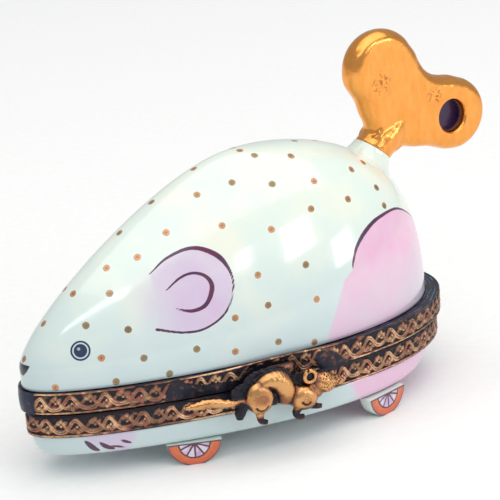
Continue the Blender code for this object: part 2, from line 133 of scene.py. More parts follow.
def ringed(rings, wrap=False, ends=(None, None)):
    """Points and faces of a solid through rings of equal length, its ends closed by a fan."""
    rings = np.asarray(rings, float)
    count, columns = rings.shape[:2]
    points = rings.reshape(-1, 3)
    faces = [grid_faces(count, columns, wrap)]
    if not wrap:
        tips = [
            ring.mean(0) if end is None else end for end, ring in zip(ends, (rings[0], rings[-1]))
        ]
        fans = [
            fan_faces(np.arange(columns)[::-1], len(points)),
            fan_faces(np.arange(columns) + (count - 1) * columns, len(points) + 1),
        ]
        points = np.concatenate((points, tips))
        faces.append(np.concatenate(fans))
    return points, faces


def smoothstep(value, low, high):
    share = np.clip((value - low) / (high - low), 0, 1)
    return share * share * (3 - 2 * share)


def bell(distance, width):
    """1 at no distance, falling smoothly to almost nothing at twice the width."""
    return np.exp(-((distance / width) ** 2))


def spline(controls, steps=12):
    """A smooth curve through the control rows, which may hold any number of values."""
    knots = np.asarray(controls, float)
    padded = np.concatenate((knots[:1] * 2 - knots[1:2], knots, knots[-1:] * 2 - knots[-2:-1]))
    curve = []
    for index in range(1, len(padded) - 2):
        a, b, c, d = padded[index - 1 : index + 3]
        for t in np.arange(steps) / steps:
            cubic = 2 * a - 5 * b + 4 * c - d + t * (3 * (b - c) + d - a)
            curve.append(b + 0.5 * t * (c - a + t * cubic))
    return np.array(curve + [knots[-1]])


def lengths_along(line):
    """How far along the polyline each of its points lies."""
    return np.concatenate(([0], np.cumsum(np.linalg.norm(np.diff(line, axis=0), axis=1))))


def to_line(points, line):
    """The distance from each point to a polyline, and where along it, as a share of its rows."""
    best = np.full(len(points), 1e9)
    where = np.zeros(len(points))
    for index, (start, end) in enumerate(zip(line, line[1:])):
        along = end - start
        share = np.clip((points - start) @ along / max(along @ along, 1e-9), 0, 1)
        distance = np.linalg.norm(points - start - share[:, None] * along, axis=1)
        nearer = distance < best
        best[nearer] = distance[nearer]
        where[nearer] = (index + share[nearer]) / (len(line) - 1)
    return best, where


def inside(x, z, corners):
    """How far each (x, z) lies inside the polygon; outside it is negative."""
    corners = np.asarray(corners, float)
    within = np.zeros(len(x), bool)
    for (x0, z0), (x1, z1) in zip(corners, np.roll(corners, -1, 0)):
        crosses = (z0 > z) != (z1 > z)
        within ^= crosses & (x < (x1 - x0) * (z - z0) / (z1 - z0 + 1e-12) + x0)
    distance, _ = to_line(rows(x, z), np.concatenate((corners, corners[:1])))
    return np.where(within, distance, -distance)


# The egg outline


def egg_width(taper):
    cosine = (1 - math.sqrt(1 + 8 * taper * taper)) / (4 * taper)
    return math.sqrt(1 - cosine * cosine) * (1 - taper * cosine)


def egg(angle, z, front, rear, half_width, taper=EGG_TAPER):
    """Points on an egg from x = front at angle 0 to x = rear; -Y comes first."""
    x = (front + rear) / 2 - (rear - front) / 2 * np.cos(angle)
    y = -half_width * np.sin(angle) * (1 - taper * np.cos(angle)) / egg_width(taper)
    return rows(x, y, z)


def outline(angle, z, inset):
    half = RIM_HALF_LENGTH - inset
    return egg(angle, z, -half, half, RIM_HALF_WIDTH - inset)


def even_angles(count):
    """Angles that divide the rims' outline into equal lengths, and the length of the whole."""
    fine = np.linspace(0, FULL_TURN, 7201)
    length = lengths_along(outline(fine, 0.0, 0.0))
    return np.interp(np.arange(count) / count * length[-1], length, fine), length[-1]


def band_point(x, out, z):
    """Places at these x along the clasp's side of the rims, this far out from the band."""
    angle = np.arccos(np.clip(-np.asarray(x, float) / RIM_HALF_LENGTH, -1, 1))
    step = 1e-4
    here = outline(angle, 0.0, 0.0)
    along = unit(outline(angle + step, 0.0, 0.0) - outline(angle - step, 0.0, 0.0))
    normal = rows(along[..., 1], -along[..., 0], 0.0)
    placed = here + normal * np.asarray(out, float)[..., None]
    placed[..., 2] = z
    return placed


# Materials


def tone(red, green, blue):
    """A colour given as it looks on a screen, 0 to 255, as the linear values that shaders take."""
    values = []
    for channel in (red, green, blue):
        share = channel / 255
        values.append(share / 12.92 if share <= 0.04045 else ((share + 0.055) / 1.055) ** 2.4)
    return (*values, 1.0)


class Value:
    """A node's output. Arithmetic with it adds Math nodes, and | takes the larger of two."""

    def __init__(self, look, socket):
        self.look, self.socket = look, socket

    def math(self, operation, other=0.0):
        return self.look.node("Math", {0: self, 1: other}, operation=operation)

    def __add__(self, other):
        return self.math("ADD", other)

    def __sub__(self, other):
        return self.math("SUBTRACT", other)

    def __mul__(self, other):
        return self.math("MULTIPLY", other)

    def __or__(self, other):
        return self.math("MAXIMUM", other)

    def __abs__(self):
        return self.math("ABSOLUTE")


class Look:
    """A Principled material and short calls that add its nodes."""

    def __init__(self, name, **values):
        self.material = bpy.data.materials.new(name)
        self.material.use_nodes = True
        self.tree = self.material.node_tree
        self.shader = self.tree.nodes["Principled BSDF"]
        self.place = self.node("TexCoord", output="Object")
        for socket, value in values.items():
            self.set(socket.replace("_", " ").title().replace("Ior", "IOR"), value)

    def set(self, socket, value):
        self.put(self.shader.inputs[socket], value)

    def put(self, socket, value):
        if isinstance(value, Value):
            value = value.socket
        if isinstance(value, bpy.types.NodeSocket):
            self.tree.links.new(value, socket)
        else:
            socket.default_value = value

    def node(self, kind, inputs=(), output=0, **settings):
        made = self.tree.nodes.new("ShaderNode" + kind)
        for setting, value in settings.items():
            setattr(made, setting, value)
        for socket, value in dict(inputs).items():
            self.put(made.inputs[socket], value)
        return Value(self, made.outputs[output])

    def field(self, name):
        return self.node("Attribute", output="Fac", attribute_name=name)

    def mix(self, share, first, second):
        return self.node("Mix", {0: share, 6: first, 7: second}, 2, data_type="RGBA")

    def step(self, value, low, high, start=0.0, end=1.0):
        inputs = {"Value": value, "From Min": low, "From Max": high, "To Min": start, "To Max": end}
        return self.node("MapRange", inputs, interpolation_type="SMOOTHSTEP")

    def noise(self, size, detail=3.0, rough=0.5, stretch=None):
        """Noise whose features are about this many millimetres across."""
        place = self.place
        if stretch:
            place = self.node("Mapping", {"Vector": place, "Scale": stretch})
        inputs = {"Vector": place, "Scale": 1 / (size * MM), "Detail": detail, "Roughness": rough}
        return self.node("TexNoise", inputs, "Fac")

    def bump(self, height, depth):
        """Sets a bump this many millimetres deep."""
        self.set("Normal", self.node("Bump", {"Height": height, "Distance": depth * MM}))


PORCELAIN = tone(225, 238, 230)
PORCELAIN_WARM = tone(238, 241, 227)
# The darker, bluer tone of painted shade on the lower porcelain.
PORCELAIN_SHADED = tone(194, 212, 216)
PLUM = tone(84, 26, 62)
PLUM_NAVY = tone(50, 32, 66)
LILAC = tone(212, 184, 218)
PINK = tone(236, 176, 212)
GLAZE_ROUGHNESS = 0.13
BRUSH_WOBBLE = 0.22  # how far, in millimetres, noise moves the edges of the paint


def porcelain(name, painted):
    """Clear glaze over white porcelain that turns darker and cooler low down, as painted shade; painted
    adds the overglaze colours that its fields place, and a painted highlight in the eye.
    """
    look = Look(name, roughness=GLAZE_ROUGHNESS, ior=1.5, coat_weight=0.5, coat_roughness=0.035)
    cloud = look.noise(9.0)
    colour = look.mix(look.step(cloud, 0.35, 0.7), PORCELAIN, PORCELAIN_WARM)
    height = look.node("SeparateXYZ", {0: look.place}, "Z")
    # Painted shade: between 40 and 18 mm above the floor the glaze turns towards that darker, cooler
    # tone, and it stays so below.
    low = look.step(height + cloud * 0.008, 0.040, 0.018, 0.0, 0.9)
    colour = look.mix(low, colour, PORCELAIN_SHADED)
    speck = look.step(look.noise(0.55, 1.0), 0.76, 0.80)
    colour = look.mix(speck * 0.10, colour, tone(190, 188, 176))
    height = look.noise(7.0, 1.0) + look.noise(0.25, 2.0) * 0.012
    if not painted:
        look.set("Base Color", colour)
        look.bump(height, 0.12)
        return look.material

    brush = look.noise(0.35, 3.0, 0.6)
    wobble = (look.noise(0.8, 2.0) - 0.5) * BRUSH_WOBBLE
    wash = look.step(look.noise(4.0, 3.0), 0.25, 0.8, 0.75, 1.0)
    pink = look.mix(look.step(look.field("rose"), 0.0, 1.0), LILAC, PINK)
    colour = look.mix(look.field("blush") * wash, colour, pink)

    ink = look.mix(look.step(look.noise(2.6, 2.0), 0.4, 0.62), PLUM, PLUM_NAVY)
    ink = look.mix(brush * 0.35, ink, tone(140, 60, 110))
    stroke = look.step(look.field("stroke") + wobble * 0.35, 0.05, -0.05)
    colour = look.mix(stroke, colour, ink)

    hue = look.step(look.noise(5.0, 2.0), 0.42, 0.6)
    gold = look.mix(hue, tone(146, 122, 84), tone(204, 146, 104))
    gold = look.mix(look.step(look.field("dot"), 0.35, 0.05), gold, tone(120, 86, 62))
    dot = look.step(look.field("dot") + wobble, 0.66, 0.52)
    colour = look.mix(dot, colour, gold)

    eye = look.field("eye") + wobble * 0.25
    navy = look.mix(brush * 0.5, tone(24, 34, 60), tone(62, 80, 112))
    disc = look.step(eye, 1.62, 1.54)
    white = look.step(eye, 1.31, 1.25) * look.step(eye, 1.03, 1.09)
    colour = look.mix(disc, colour, navy)
    colour = look.mix(white, colour, tone(196, 214, 228))
    colour = look.mix(look.step(look.field("glint"), 0.46, 0.30), colour, tone(190, 206, 226))
    nose = look.step(look.field("nose") + wobble * 0.5, 0.06, -0.06)
    colour = look.mix(nose, colour, tone(30, 34, 44))

    enamel = stroke | dot | disc | nose
    look.set("Base Color", colour)
    look.set("Metallic", dot * 0.35)
    look.set("Roughness", look.step(enamel, 0.0, 1.0, GLAZE_ROUGHNESS, 2 * GLAZE_ROUGHNESS))
    look.bump(height + enamel * 0.25, 0.12)
    return look.material


def antique(name, bright=tone(232, 190, 150), middle=tone(140, 106, 84), dark=tone(24, 20, 32)):
    """Cast brass with a dark patina in its recesses; the field relief runs from 0 there to 1. On the cast
    mouse and at the base rim's seam the field also paints light and shade.
    """
    look = Look(name, ior=1.5)
    grain = look.noise(0.22, 3.0, 0.65)
    height = look.field("relief") + (grain - 0.5) * 0.45 + (look.noise(2.4, 3.0, 0.6) - 0.5) * 0.5
    hue = look.mix(look.step(look.noise(1.3, 2.0), 0.42, 0.66), middle, tone(150, 96, 84))
    colour = look.mix(look.step(height, 0.24, 0.56), dark, hue)
    look.set("Base Color", look.mix(look.step(height, 0.60, 0.95), colour, bright))
    look.set("Metallic", look.step(height, 0.2, 0.55, 0.4, 1.0))
    look.set("Roughness", look.step(height, 0.2, 0.9, 0.34, 0.27))
    look.bump(grain, 0.03)
    return look


def slate_ledge(look):
    """Adds to antique brass the plain dark ledge that the field plain places, streaked along the rim."""
    streak = look.step(look.field("streak"), 0.35, 0.9)
    streak = streak * look.step(look.noise(2.0, 3.0), 0.35, 0.65)
    plain = look.mix(streak, tone(34, 40, 62), tone(146, 150, 172))
    plain = look.mix(look.step(look.noise(1.1, 3.0), 0.55, 0.75), plain, tone(96, 70, 58))
    before = look.shader.inputs["Base Color"].links[0].from_socket
    look.set("Base Color", look.mix(look.field("plain"), before, plain))
    return look.material


def gilding(name):
    """Fired gold over glazed porcelain: bright orange gold, brushed on, with darker, rougher patches."""
    look = Look(name, metallic=1.0, ior=1.5)
    brush = look.noise(1.2, 4.0, 0.6, (1.0, 1.0, 0.35))
    # The patches that make_key places come out darker and rougher.
    dull_patch = look.field("dull_patch") * look.step(look.noise(0.45, 3.0), 0.5, 0.62)
    colour = look.mix(look.step(brush, 0.3, 0.75), tone(244, 168, 88), tone(238, 154, 74))
    colour = look.mix(dull_patch * 0.75, colour, tone(160, 92, 52))
    hole = look.field("hole")
    look.set("Base Color", look.mix(hole, colour, tone(58, 34, 74)))
    look.set("Metallic", look.step(hole, 0.0, 1.0, 1.0, 0.1))
    look.set("Roughness", look.step(brush, 0.2, 0.9, 0.20, 0.30) + dull_patch * 0.25)
    look.bump(look.noise(3.0, 2.0) + look.noise(0.4, 3.0) * 0.03, 0.16)
    return look.material


# Lid


def bezier(start, handle_1, handle_2, end, steps=4000):
    share = np.linspace(0, 1, steps + 1)[:, None]
    rest = 1 - share
    a, b, c, d = (np.array(point, float) for point in (start, handle_1, handle_2, end))
    return rest**3 * a + 3 * rest**2 * share * b + 3 * rest * share**2 * c + share**3 * d


# Distance and height along the snout and back, the rump, and the flank.
LID_PROFILES = (
    bezier((-39.6, 18.6), (-39.54, 24.7), (-10.7, LID_TOP), (APEX_X, LID_TOP)),
    bezier((37.3, LID_RIM_TOP), (37.3, 39.2), (24.9, LID_TOP), (APEX_X, LID_TOP)),
    bezier((17.0, LID_RIM_TOP), (17.0, 28.8), (10.5, LID_TOP), (0, LID_TOP)),
)


def lid_sizes(z):
    return [np.interp(z, curve[:, 1], curve[:, 0]) for curve in LID_PROFILES]


def lid_level(angle, z, inset=0.0, at=None):
    """A level ring of the lid at height z, with the shape that its outside has at height `at`."""
    front, rump, flank = lid_sizes(z if at is None else at)
    return egg(angle, z, front + inset, rump - inset, flank - inset)


def lid_half_width(x, z):
    """How far the lid's outside lies from y = 0 at these x and z; outside its length it is 0."""
    front, rump, flank = lid_sizes(z)
    cosine = np.clip(((front + rump) / 2 - x) / np.maximum((rump - front) / 2, 1e-6), -1, 1)
    return flank * np.sqrt(1 - cosine**2) * (1 - EGG_TAPER * cosine) / egg_width(EGG_TAPER)


def on_flank(line):
    """Rows of x, z and width of a brush stroke, as rows of x, y, z and width on the -Y flank."""
    x, z, width = np.asarray(line, float).T
    return rows(x, -lid_half_width(x, z), z, width)


# Painted dots: a height, and how far round the lid each dot at that height lies from the snout's ridge.
DOT_ROWS = (
    (46.0, (2.5,)),
    (45.3, (8.0, 19.0)),
    (44.4, (0.0, 17.0, 28.0)),
    (42.4, (10.5,)),
    (41.4, (6.5, 19.0)),
    (40.6, (0.0, 28.0, 36.5, 41.0)),
    (36.9, (0.0, 8.0, 17.0, 32.5, 40.0, 47.5)),
    (35.2, (27.5,)),
    (34.0, (7.0, 52.5)),
    (32.8, (3.5,)),
    (29.5, (1.5, 7.5)),
    (29.0, (32.0, 40.5)),
    (25.4, (0.0, 7.5)),
    (24.2, (15.0, 38.0)),
    (23.3, (33.0, 47.5)),
    (20.5, (0.0, 13.0)),
    (19.6, (20.0, 28.5)),
    (18.0, (35.0, 42.5)),
    (16.4, (6.0, 15.5, 24.0, 49.0)),
)
RUMP_DOTS = ((30.5, 0.0), (27.2, 3.6), (23.0, 0.0), (19.2, 3.6))  # height, distance from its ridge
EAR_OUTER = (
    (-19.4, 31.5, 0.16), (-16.0, 33.5, 0.42), (-11.9, 34.4, 0.62), (-8.8, 33.0, 0.86), (-7.5, 30.5, 0.52),
    (-7.7, 27.7, 0.36), (-9.8, 24.4, 0.34), (-13.3, 22.6, 0.36), (-16.8, 22.5, 0.38), (-20.8, 23.6, 0.44),
)
EAR_INNER = (
    (-17.8, 29.0, 0.18), (-15.2, 30.5, 0.40), (-13.0, 30.9, 0.44), (-11.3, 30.1, 0.62),
    (-10.9, 28.4, 0.80), (-12.5, 26.1, 0.66), (-14.8, 25.5, 0.56), (-17.2, 26.2, 0.22),
)
THIGH_EDGE = (
    (13.7, 26.3, 0.20), (14.2, 27.6, 0.42), (15.5, 29.6, 0.60), (18.1, 31.5, 0.74), (21.7, 32.7, 0.60),
    (27.1, 32.6, 0.42), (31.9, 29.7, 0.30), (34.4, 26.0, 0.14),
)
THIGH_FRONT = ((7.0, 14.0), (7.2, 17.0), (9.6, 21.4), (11.7, 25.1))
THIGH_REAR = ((35.6, 23.6), (36.9, 19.0), (38.5, 12))
EYE = (-32.15, 21.9)
NOSE = ((-1.8, 19.8), (1.8, 19.8), (1.35, 18.8), (0.5, 18.0), (-0.5, 18.0), (-1.35, 18.8))


FAR = 9.0  # a distance in millimetres at which no paint reaches


def dot_places():
    """The middle of each painted dot, both flanks."""
    angle = np.linspace(0, math.pi, 721)
    places = []
    for z, starts in (*DOT_ROWS, *((z, (-away,)) for z, away in RUMP_DOTS if away)):
        ring = lid_level(angle, z)
        length = lengths_along(ring)
        for start in starts:
            along = start if start >= 0 else length[-1] + start
            place = np.array([np.interp(along, length, ring[:, axis]) for axis in range(3)])
            places.append(place)
            if abs(place[1]) > 1.0:
                places.append(place * (1, -1, 1))
    places += [lid_level(np.array([math.pi]), z)[0] for z, away in RUMP_DOTS if not away]
    return places


def bare(count):
    """Fields that leave porcelain unpainted."""
    far = dict.fromkeys(("dot", "stroke", "eye", "glint", "nose"), np.full(count, FAR))
    return far | {"blush": np.zeros(count), "rose": np.zeros(count)}


def stroke_field(points, strokes):
    """How far each point lies outside the nearest brush stroke; strokes hold x, y, z and width."""
    field = np.full(len(points), FAR)
    for stroke in strokes:
        distance, where = to_line(points, stroke[:, :3])
        width = np.interp(where, np.linspace(0, 1, len(stroke)), stroke[:, 3])
        field = np.minimum(field, distance - width / 2)
    return field


def rump_fade(x, y, low, high):
    """1, falling to 0 over these distances from y = 0 where the mouse's rump isn't seen."""
    return np.where(x > 30, smoothstep(np.abs(y), low, high), 1)


def lid_fields(points, outside):
    """Where the lid is painted; the right flank mirrors the left."""
    fields = bare(len(points))
    x, y, z = points[outside].T
    left = rows(x, -np.abs(y), z)
    strokes = [on_flank(spline(line)) for line in (EAR_OUTER, EAR_INNER, THIGH_EDGE)]
    dots = np.full(len(x), FAR)
    for place in dot_places():
        dots = np.minimum(dots, np.linalg.norm(points[outside] - place, axis=1))

    ear = inside(x, z, spline(EAR_OUTER)[:, :2])
    lilac = smoothstep(ear, -0.1, 0.3) * smoothstep(x, -25.0, -16.5)
    halo = 0.55 * bell(x + 20.0, 2.6) * bell(z - 27.3, 3.6)
    deep = 0.25 * np.exp(-((x + 13.0) ** 2 + (z - 27.0) ** 2) / 12)
    thigh_line = np.concatenate((THIGH_FRONT, spline(THIGH_EDGE)[:, :2], THIGH_REAR))
    thigh = smoothstep(inside(x, z, thigh_line), -0.15, 0.35) * rump_fade(x, y, 1.0, 6.5)
    pale = 0.66 + 0.30 * smoothstep(z, 18.0, 31.0)
    pale -= 0.28 * smoothstep(x, 20.0, 32.0) * smoothstep(z, 24.0, 17.0)
    blush = np.maximum(np.maximum(lilac * (0.80 + deep), halo * (x < -17)), thigh * pale)

    eye = np.array((EYE[0], -lid_half_width(*EYE), EYE[1]))
    glint = eye + (-0.30, 0.0, 0.38)
    values = {
        "dot": dots,
        "stroke": stroke_field(left, strokes),
        "blush": np.clip(blush, 0, 1),
        "rose": (x > 0) * 1.0,
        "eye": np.linalg.norm(left - eye, axis=1),
        "glint": np.linalg.norm(left - glint, axis=1),
        "nose": np.where(x < -36, -inside(y, z, NOSE), FAR),
    }
    for field, found in values.items():
        placed = fields[field].copy()
        placed[outside] = found
        fields[field] = placed
    return fields


LID_COLUMNS = 560
LID_ROWS = 200
DOME_ROWS = 36


def make_lid(look):
    """The hollow lid, resting on its rim's ledge, with a dome inside and a neck inside the rim."""
    angle = circle_angles(LID_COLUMNS)
    foot = LID_RIM_TOP + 0.03
    hollow_top = LID_TOP - 2.4
    rings = []
    for step in range(DOME_ROWS):
        rise = math.cos(math.pi / 2 * (step + 0.5) / DOME_ROWS)
        rings.append(
            lid_level(angle, foot + rise * (hollow_top - foot), 3.24, foot + rise * (LID_TOP - foot))
        )
    rings += [outline(angle, 13.1, 5.0), outline(angle, 13.1, 3.2), outline(angle, foot, 3.2)]
    first_outside = len(rings)
    for step in range(LID_ROWS):
        rise = math.sin(math.pi / 2 * step / LID_ROWS)
        inset = 0.12 * (step == 0)
        rings.append(lid_level(angle, foot + rise * (LID_TOP - foot) + 0.12 * (step == 1), inset))
    ends = (np.array((APEX_X, 0, hollow_top)), np.array((APEX_X, 0, LID_TOP)))
    points, faces = ringed(rings, ends=ends)
    outside = np.arange(len(points)) >= first_outside * LID_COLUMNS
    outside[-2] = False
    made = piece("lid_body", points, faces, "lid", "lid_glaze", look, lid_fields(points, outside), 60)
    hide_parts("lid_shell")


# Key


KEY_AXIS = np.array((math.cos(KEY_LEAN), 0, math.sin(KEY_LEAN)))
KEY_ACROSS = np.array((math.sin(KEY_LEAN), 0, -math.cos(KEY_LEAN)))
KEY_SIDE = np.array((0.0, 1.0, 0.0))
LOBE = (9.3, 12.85, 6.72)  # across and along the stem, and the radius
HOLE = (8.4, 12.3)
HOLE_PROFILE = (  # depth and radius
    (-1.0, 4.1), (-0.1, 3.3), (0.15, 3.02), (0.5, 2.84), (1.0, 2.76), (1.7, 2.72), (2.4, 2.7),
)
STEM_PROFILE = (  # along the stem, and the radius
    (0.0, 3.42), (1.2, 3.36), (3.0, 3.36), (5.0, 3.0), (6.8, 2.6), (8.6, 1.9), (10.4, 0.9),
)
KEY_DULL_PATCHES = ((-8.9, 10.2, 2.6), (2.65, 13.6, 2.2))  # across, along, reach
BOW_TILT = 0.065
STEM_SKEW = -1.8
KEY_THICK = 5.1


def key_point(across, along):
    """The place this far across the key's bow and along its slightly skewed stem, at y = 0."""
    skew = STEM_SKEW * max(0.0, 1 - along / 9.0)
    return np.array(KEY_FOOT) + KEY_AXIS * (along + BOW_TILT * across) + KEY_ACROSS * (across + skew)


def stem_ring(along, radius, count=64):
    turn = circle_angles(count)[:, None]
    return key_point(0, along) + radius * (KEY_ACROSS * np.cos(turn) + KEY_SIDE * np.sin(turn))


def neighbour_mean(faces, count):
    """A function that gives the mean place of each point's neighbours."""
    edges = [np.stack((group, np.roll(group, -1, 1)), -1).reshape(-1, 2) for group in faces]
    edges = np.unique(np.sort(np.concatenate(edges), axis=1), axis=0)
    point, neighbour = np.concatenate((edges, edges[:, ::-1])).T
    neighbours = np.maximum(np.bincount(point, minlength=count), 1)

    def mean(points):
        total = rows(*(np.bincount(point, axis[neighbour], count) for axis in points.T))
        return total / neighbours[:, None]

    return mean


def smoothed(points, faces, rounds):
    """The mesh with its bumps evened out, without the shrinking of a plain average."""
    mean = neighbour_mean(faces, len(points))
    for step in range(rounds):
        points = points + (-0.50 if step % 2 else 0.55) * (mean(points) - points)
    return points


def evaluated(target):
    """A new mesh: the object's, with its modifiers applied."""
    return bpy.data.meshes.new_from_object(target.evaluated_get(bpy.context.evaluated_depsgraph_get()))


def places(mesh):
    """The mesh's points, one row each."""
    corners = np.empty(len(mesh.vertices) * 3, np.float32)
    mesh.vertices.foreach_get("co", corners)
    return corners.reshape(-1, 3).astype(float)


def fused(solids, voxel, rounds):
    """One smooth skin round the solids, which overlap; a solid is its points and faces."""
    mesh = bpy.data.meshes.new("fused")
    points, faces, first = [], [], 0
    for solid_points, solid_faces in solids:
        points.append(solid_points)
        faces += [face + first for group in outward(solid_points, solid_faces) for face in group]
        first += len(solid_points)
    mesh.from_pydata(np.concatenate(points), [], [face.tolist() for face in faces])
    helper = collection_object("fused", mesh)
    modifier = helper.modifiers.new("skin", "REMESH")
    modifier.mode = "VOXEL"
    modifier.voxel_size = voxel
    skin = evaluated(helper)
    bpy.data.objects.remove(helper)
    faces = [np.array([tuple(polygon.vertices) for polygon in skin.polygons])]
    return smoothed(places(skin), faces, rounds), faces


def cut(target, cutter):
    """Takes the cutter's solid out of the target and removes the cutter."""
    modifier = target.modifiers.new("cut", "BOOLEAN")
    modifier.object = cutter
    modifier.operation = "DIFFERENCE"
    modifier.solver = "EXACT"
    result = evaluated(target)
    target.modifiers.clear()
    target.data = result
    bpy.data.objects.remove(cutter)


def bow_outline():
    """The bow's outline as points across and along the stem, once round."""
    half = [(3.2, 0.9), (3.65, 2.5), (4.7, 3.3), (6.2, 4.0), (7.6, 4.85), (9.1, 5.7)]
    for angle in np.radians(np.linspace(-68, 112, 19)):
        half.append((LOBE[0] + LOBE[2] * math.cos(angle), LOBE[1] + LOBE[2] * math.sin(angle)))
    half += [(4.9, 18.5), (3.3, 17.65), (1.6, 16.98), (0, 16.75)]
    half = spline(half, 6)
    return np.concatenate((half, half[-2::-1] * (-1, 1)))


def make_key(look):
    """The gilded key: a bow of two plump lobes on a stem that runs up into its face, and a blind hole."""
    flat = bow_outline()
    middle = np.array((0.0, 11.0))
    along = np.roll(flat, 1, 0) - np.roll(flat, -1, 0)
    normal = unit(rows(-along[:, 1], along[:, 0]))
    normal *= np.sign(((flat - middle) * normal).sum())
    rings = []
    for tilt in np.radians(np.linspace(-90, 90, 15)):
        edge = flat - normal * 1.9 * (1 - math.cos(tilt))
        side = KEY_THICK / 2 * math.sin(tilt)
        rings.append([key_point(*point) + KEY_SIDE * side for point in edge])
    stem = ringed([stem_ring(*level) for level in STEM_PROFILE])
    points, faces = fused([ringed(rings), stem], 0.24, 14)
    made = piece("gilded_key", points, faces, "lid", "key_gilding", look)

    mouth = key_point(*HOLE) - KEY_SIDE * (KEY_THICK / 2)
    turn = circle_angles(64)[:, None]
    circle = KEY_AXIS * np.cos(turn) + KEY_ACROSS * np.sin(turn)
    rings = [mouth + radius * circle + KEY_SIDE * depth for depth, radius in HOLE_PROFILE]
    cutter = piece("key_hole_cutter", *ringed(rings), "lid", "key_gilding", look)
    bpy.context.view_layer.update()
    cut(made, cutter)
    mesh = made.data
    mesh.shade_smooth()
    mesh.set_sharp_from_angle(angle=math.radians(50))
    place = places(mesh) / MM + (ORIGIN_X, 0, 0)
    dull_patch = np.zeros(len(place))
    for across, along, reach in KEY_DULL_PATCHES:
        offset = place - key_point(across, along)
        away = np.hypot(offset @ KEY_AXIS, offset @ KEY_ACROSS)
        dull_patch = np.maximum(dull_patch, smoothstep(away, reach, 0.4 * reach))
    place = place - mouth
    radial = np.hypot(place @ KEY_AXIS, place @ KEY_ACROSS)
    write_fields(mesh, {"hole": smoothstep(place[:, 1], 0.8, 1.3) * (radial < 2.9), "dull_patch": dull_patch})
    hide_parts("wind_key")


def make_collar(look):
    """The white collar under the key, which flares into the lid's back."""
    count, reach = 96, 6.6
    turn = circle_angles(count)[:, None]
    spoke = KEY_ACROSS * np.cos(turn) + KEY_SIDE * np.sin(turn)
    above = key_point(0, 4.0) + reach * spoke
    low, high = np.zeros(count), np.full(count, 16.0)

    def outside(points):
        x, y, z = points.T
        front, rump, _ = lid_sizes(z)
        return (z > LID_TOP) | (x < front) | (x > rump) | (np.abs(y) > lid_half_width(x, z))

    for _ in range(40):
        middle = (low + high) / 2
        out = outside(above - KEY_AXIS * middle[:, None])
        low, high = np.where(out, middle, low), np.where(out, high, middle)
    foot = above - KEY_AXIS * high[:, None]
    along = np.roll(foot, -1, 0) - np.roll(foot, 1, 0)
    slope = foot - (key_point(0, 0) - KEY_AXIS * high.mean())
    normal = unit(np.cross(along, slope))
    normal *= np.sign(normal @ KEY_AXIS)[:, None]
    inward = unit((spoke * normal).sum(1)[:, None] * normal - spoke)
    top = stem_ring(0.0, 3.52, count)
    rise = 2.6 * KEY_AXIS
    rings = [foot - 0.5 * normal, foot - 0.04 * normal]
    for t in np.linspace(0, 1, 18)[1:]:
        rings.append(
            (2 * t**3 - 3 * t**2 + 1) * foot
            + (t**3 - 2 * t**2 + t) * inward * 5.2
            + (3 * t**2 - 2 * t**3) * top
            + (t**3 - t**2) * rise
        )
    points, faces = ringed(rings)
    piece("key_collar", points, faces, "lid", "lid_glaze", look, bare(len(points)), 60)


# Base


BASE_SKIN = (  # height, then insets at the front, rear and side, and the taper
    (7.77, 1.40, 2.70, 0.95, 0.32),
    (7.3, 1.42, 2.80, 0.85, 0.325),
    (5.8, 1.80, 3.80, 0.85, 0.36),
    (4.7, 2.30, 4.60, 0.90, 0.38),
    (4.1, 2.90, 5.30, 1.30, 0.39),
    (3.8, 3.80, 6.30, 2.20, 0.39),
)
PAW = ((-33.4, 9), (-32.6, 6.6), (-29.8, 4.6), (-27, 3.0), (-25.6, 6.5), (-26.5, 9))
PAW_TOES = (
    ((-33.4, 7.7, 0.35), (-32.6, 6.5, 0.85), (-31.6, 5.0, 0.95), (-30.6, 4.2, 0.6)),
    ((-31.1, 6.6, 0.35), (-30.1, 5.4, 0.85), (-28.9, 4.5, 0.8), (-28.2, 4.2, 0.5)),
    ((-29.3, 5.3, 0.25), (-28.3, 5.0, 0.6), (-27.1, 4.5, 0.6), (-26.4, 4.4, 0.4)),
    ((-28.1, 6.5, 0.25), (-27.4, 6.0, 0.6), (-26.5, 5.5, 0.4)),
)


BASE_COLUMNS = 480


def base_ring(angle, z, front, rear, side, taper):
    return egg(angle, z, -RIM_HALF_LENGTH + front, RIM_HALF_LENGTH - rear, RIM_HALF_WIDTH - side, taper)


def make_base(look):
    """The shallow tray: flat glazed floor inside, flanks that round in to a flat bottom."""
    angle = circle_angles(BASE_COLUMNS)
    floor = BASE_BOTTOM + 2.4
    rings = [outline(angle, floor, 7.1 + grown) for grown in (9.0, 6.0, 3.0, 1.0)]
    for z, inset in (
        (floor + 0.12, 6.5), (floor + 0.45, 6.0), (floor + 1.1, 5.66),
        (10.35, 5.65), (10.35, 3.25), (BASE_SKIN[0][0], 3.25),
    ):
        rings.append(outline(angle, z, inset))
    first_outside = len(rings)
    rings += [base_ring(angle, *level) for level in spline(BASE_SKIN, 8)]
    last = rings[-1]
    centre = last.mean(0)
    rings += [centre + (last - centre) * share for share in (0.93, 0.8, 0.6, 0.3)]
    points, faces = ringed(rings)

    outside = np.arange(len(points)) >= first_outside * len(angle)
    fields = bare(len(points))
    x, y, z = points.T
    strokes = []
    for toe in PAW_TOES:
        line_x, line_z, width = spline(toe).T
        strokes.append(rows(line_x, -np.interp(line_x, *skin_side()), line_z, width))
    stroke = stroke_field(rows(x, -np.abs(y), z), strokes)
    fields["stroke"] = np.where(outside, stroke, FAR)
    paw = smoothstep(inside(x, z, PAW), -0.4, 0.6)
    rear = smoothstep(x + 0.35 * (z - 6), 10.2, 12.4) * rump_fade(x, y, 1.5, 4.0)
    fields["blush"] = np.where(outside, np.maximum(0.7 * paw, 0.85 * rear), 0)
    fields["rose"] = (x > 0) * 1.0
    made = piece("base_body", points, faces, "base", "base_glaze", look, fields, 50)
    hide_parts("base_shell")


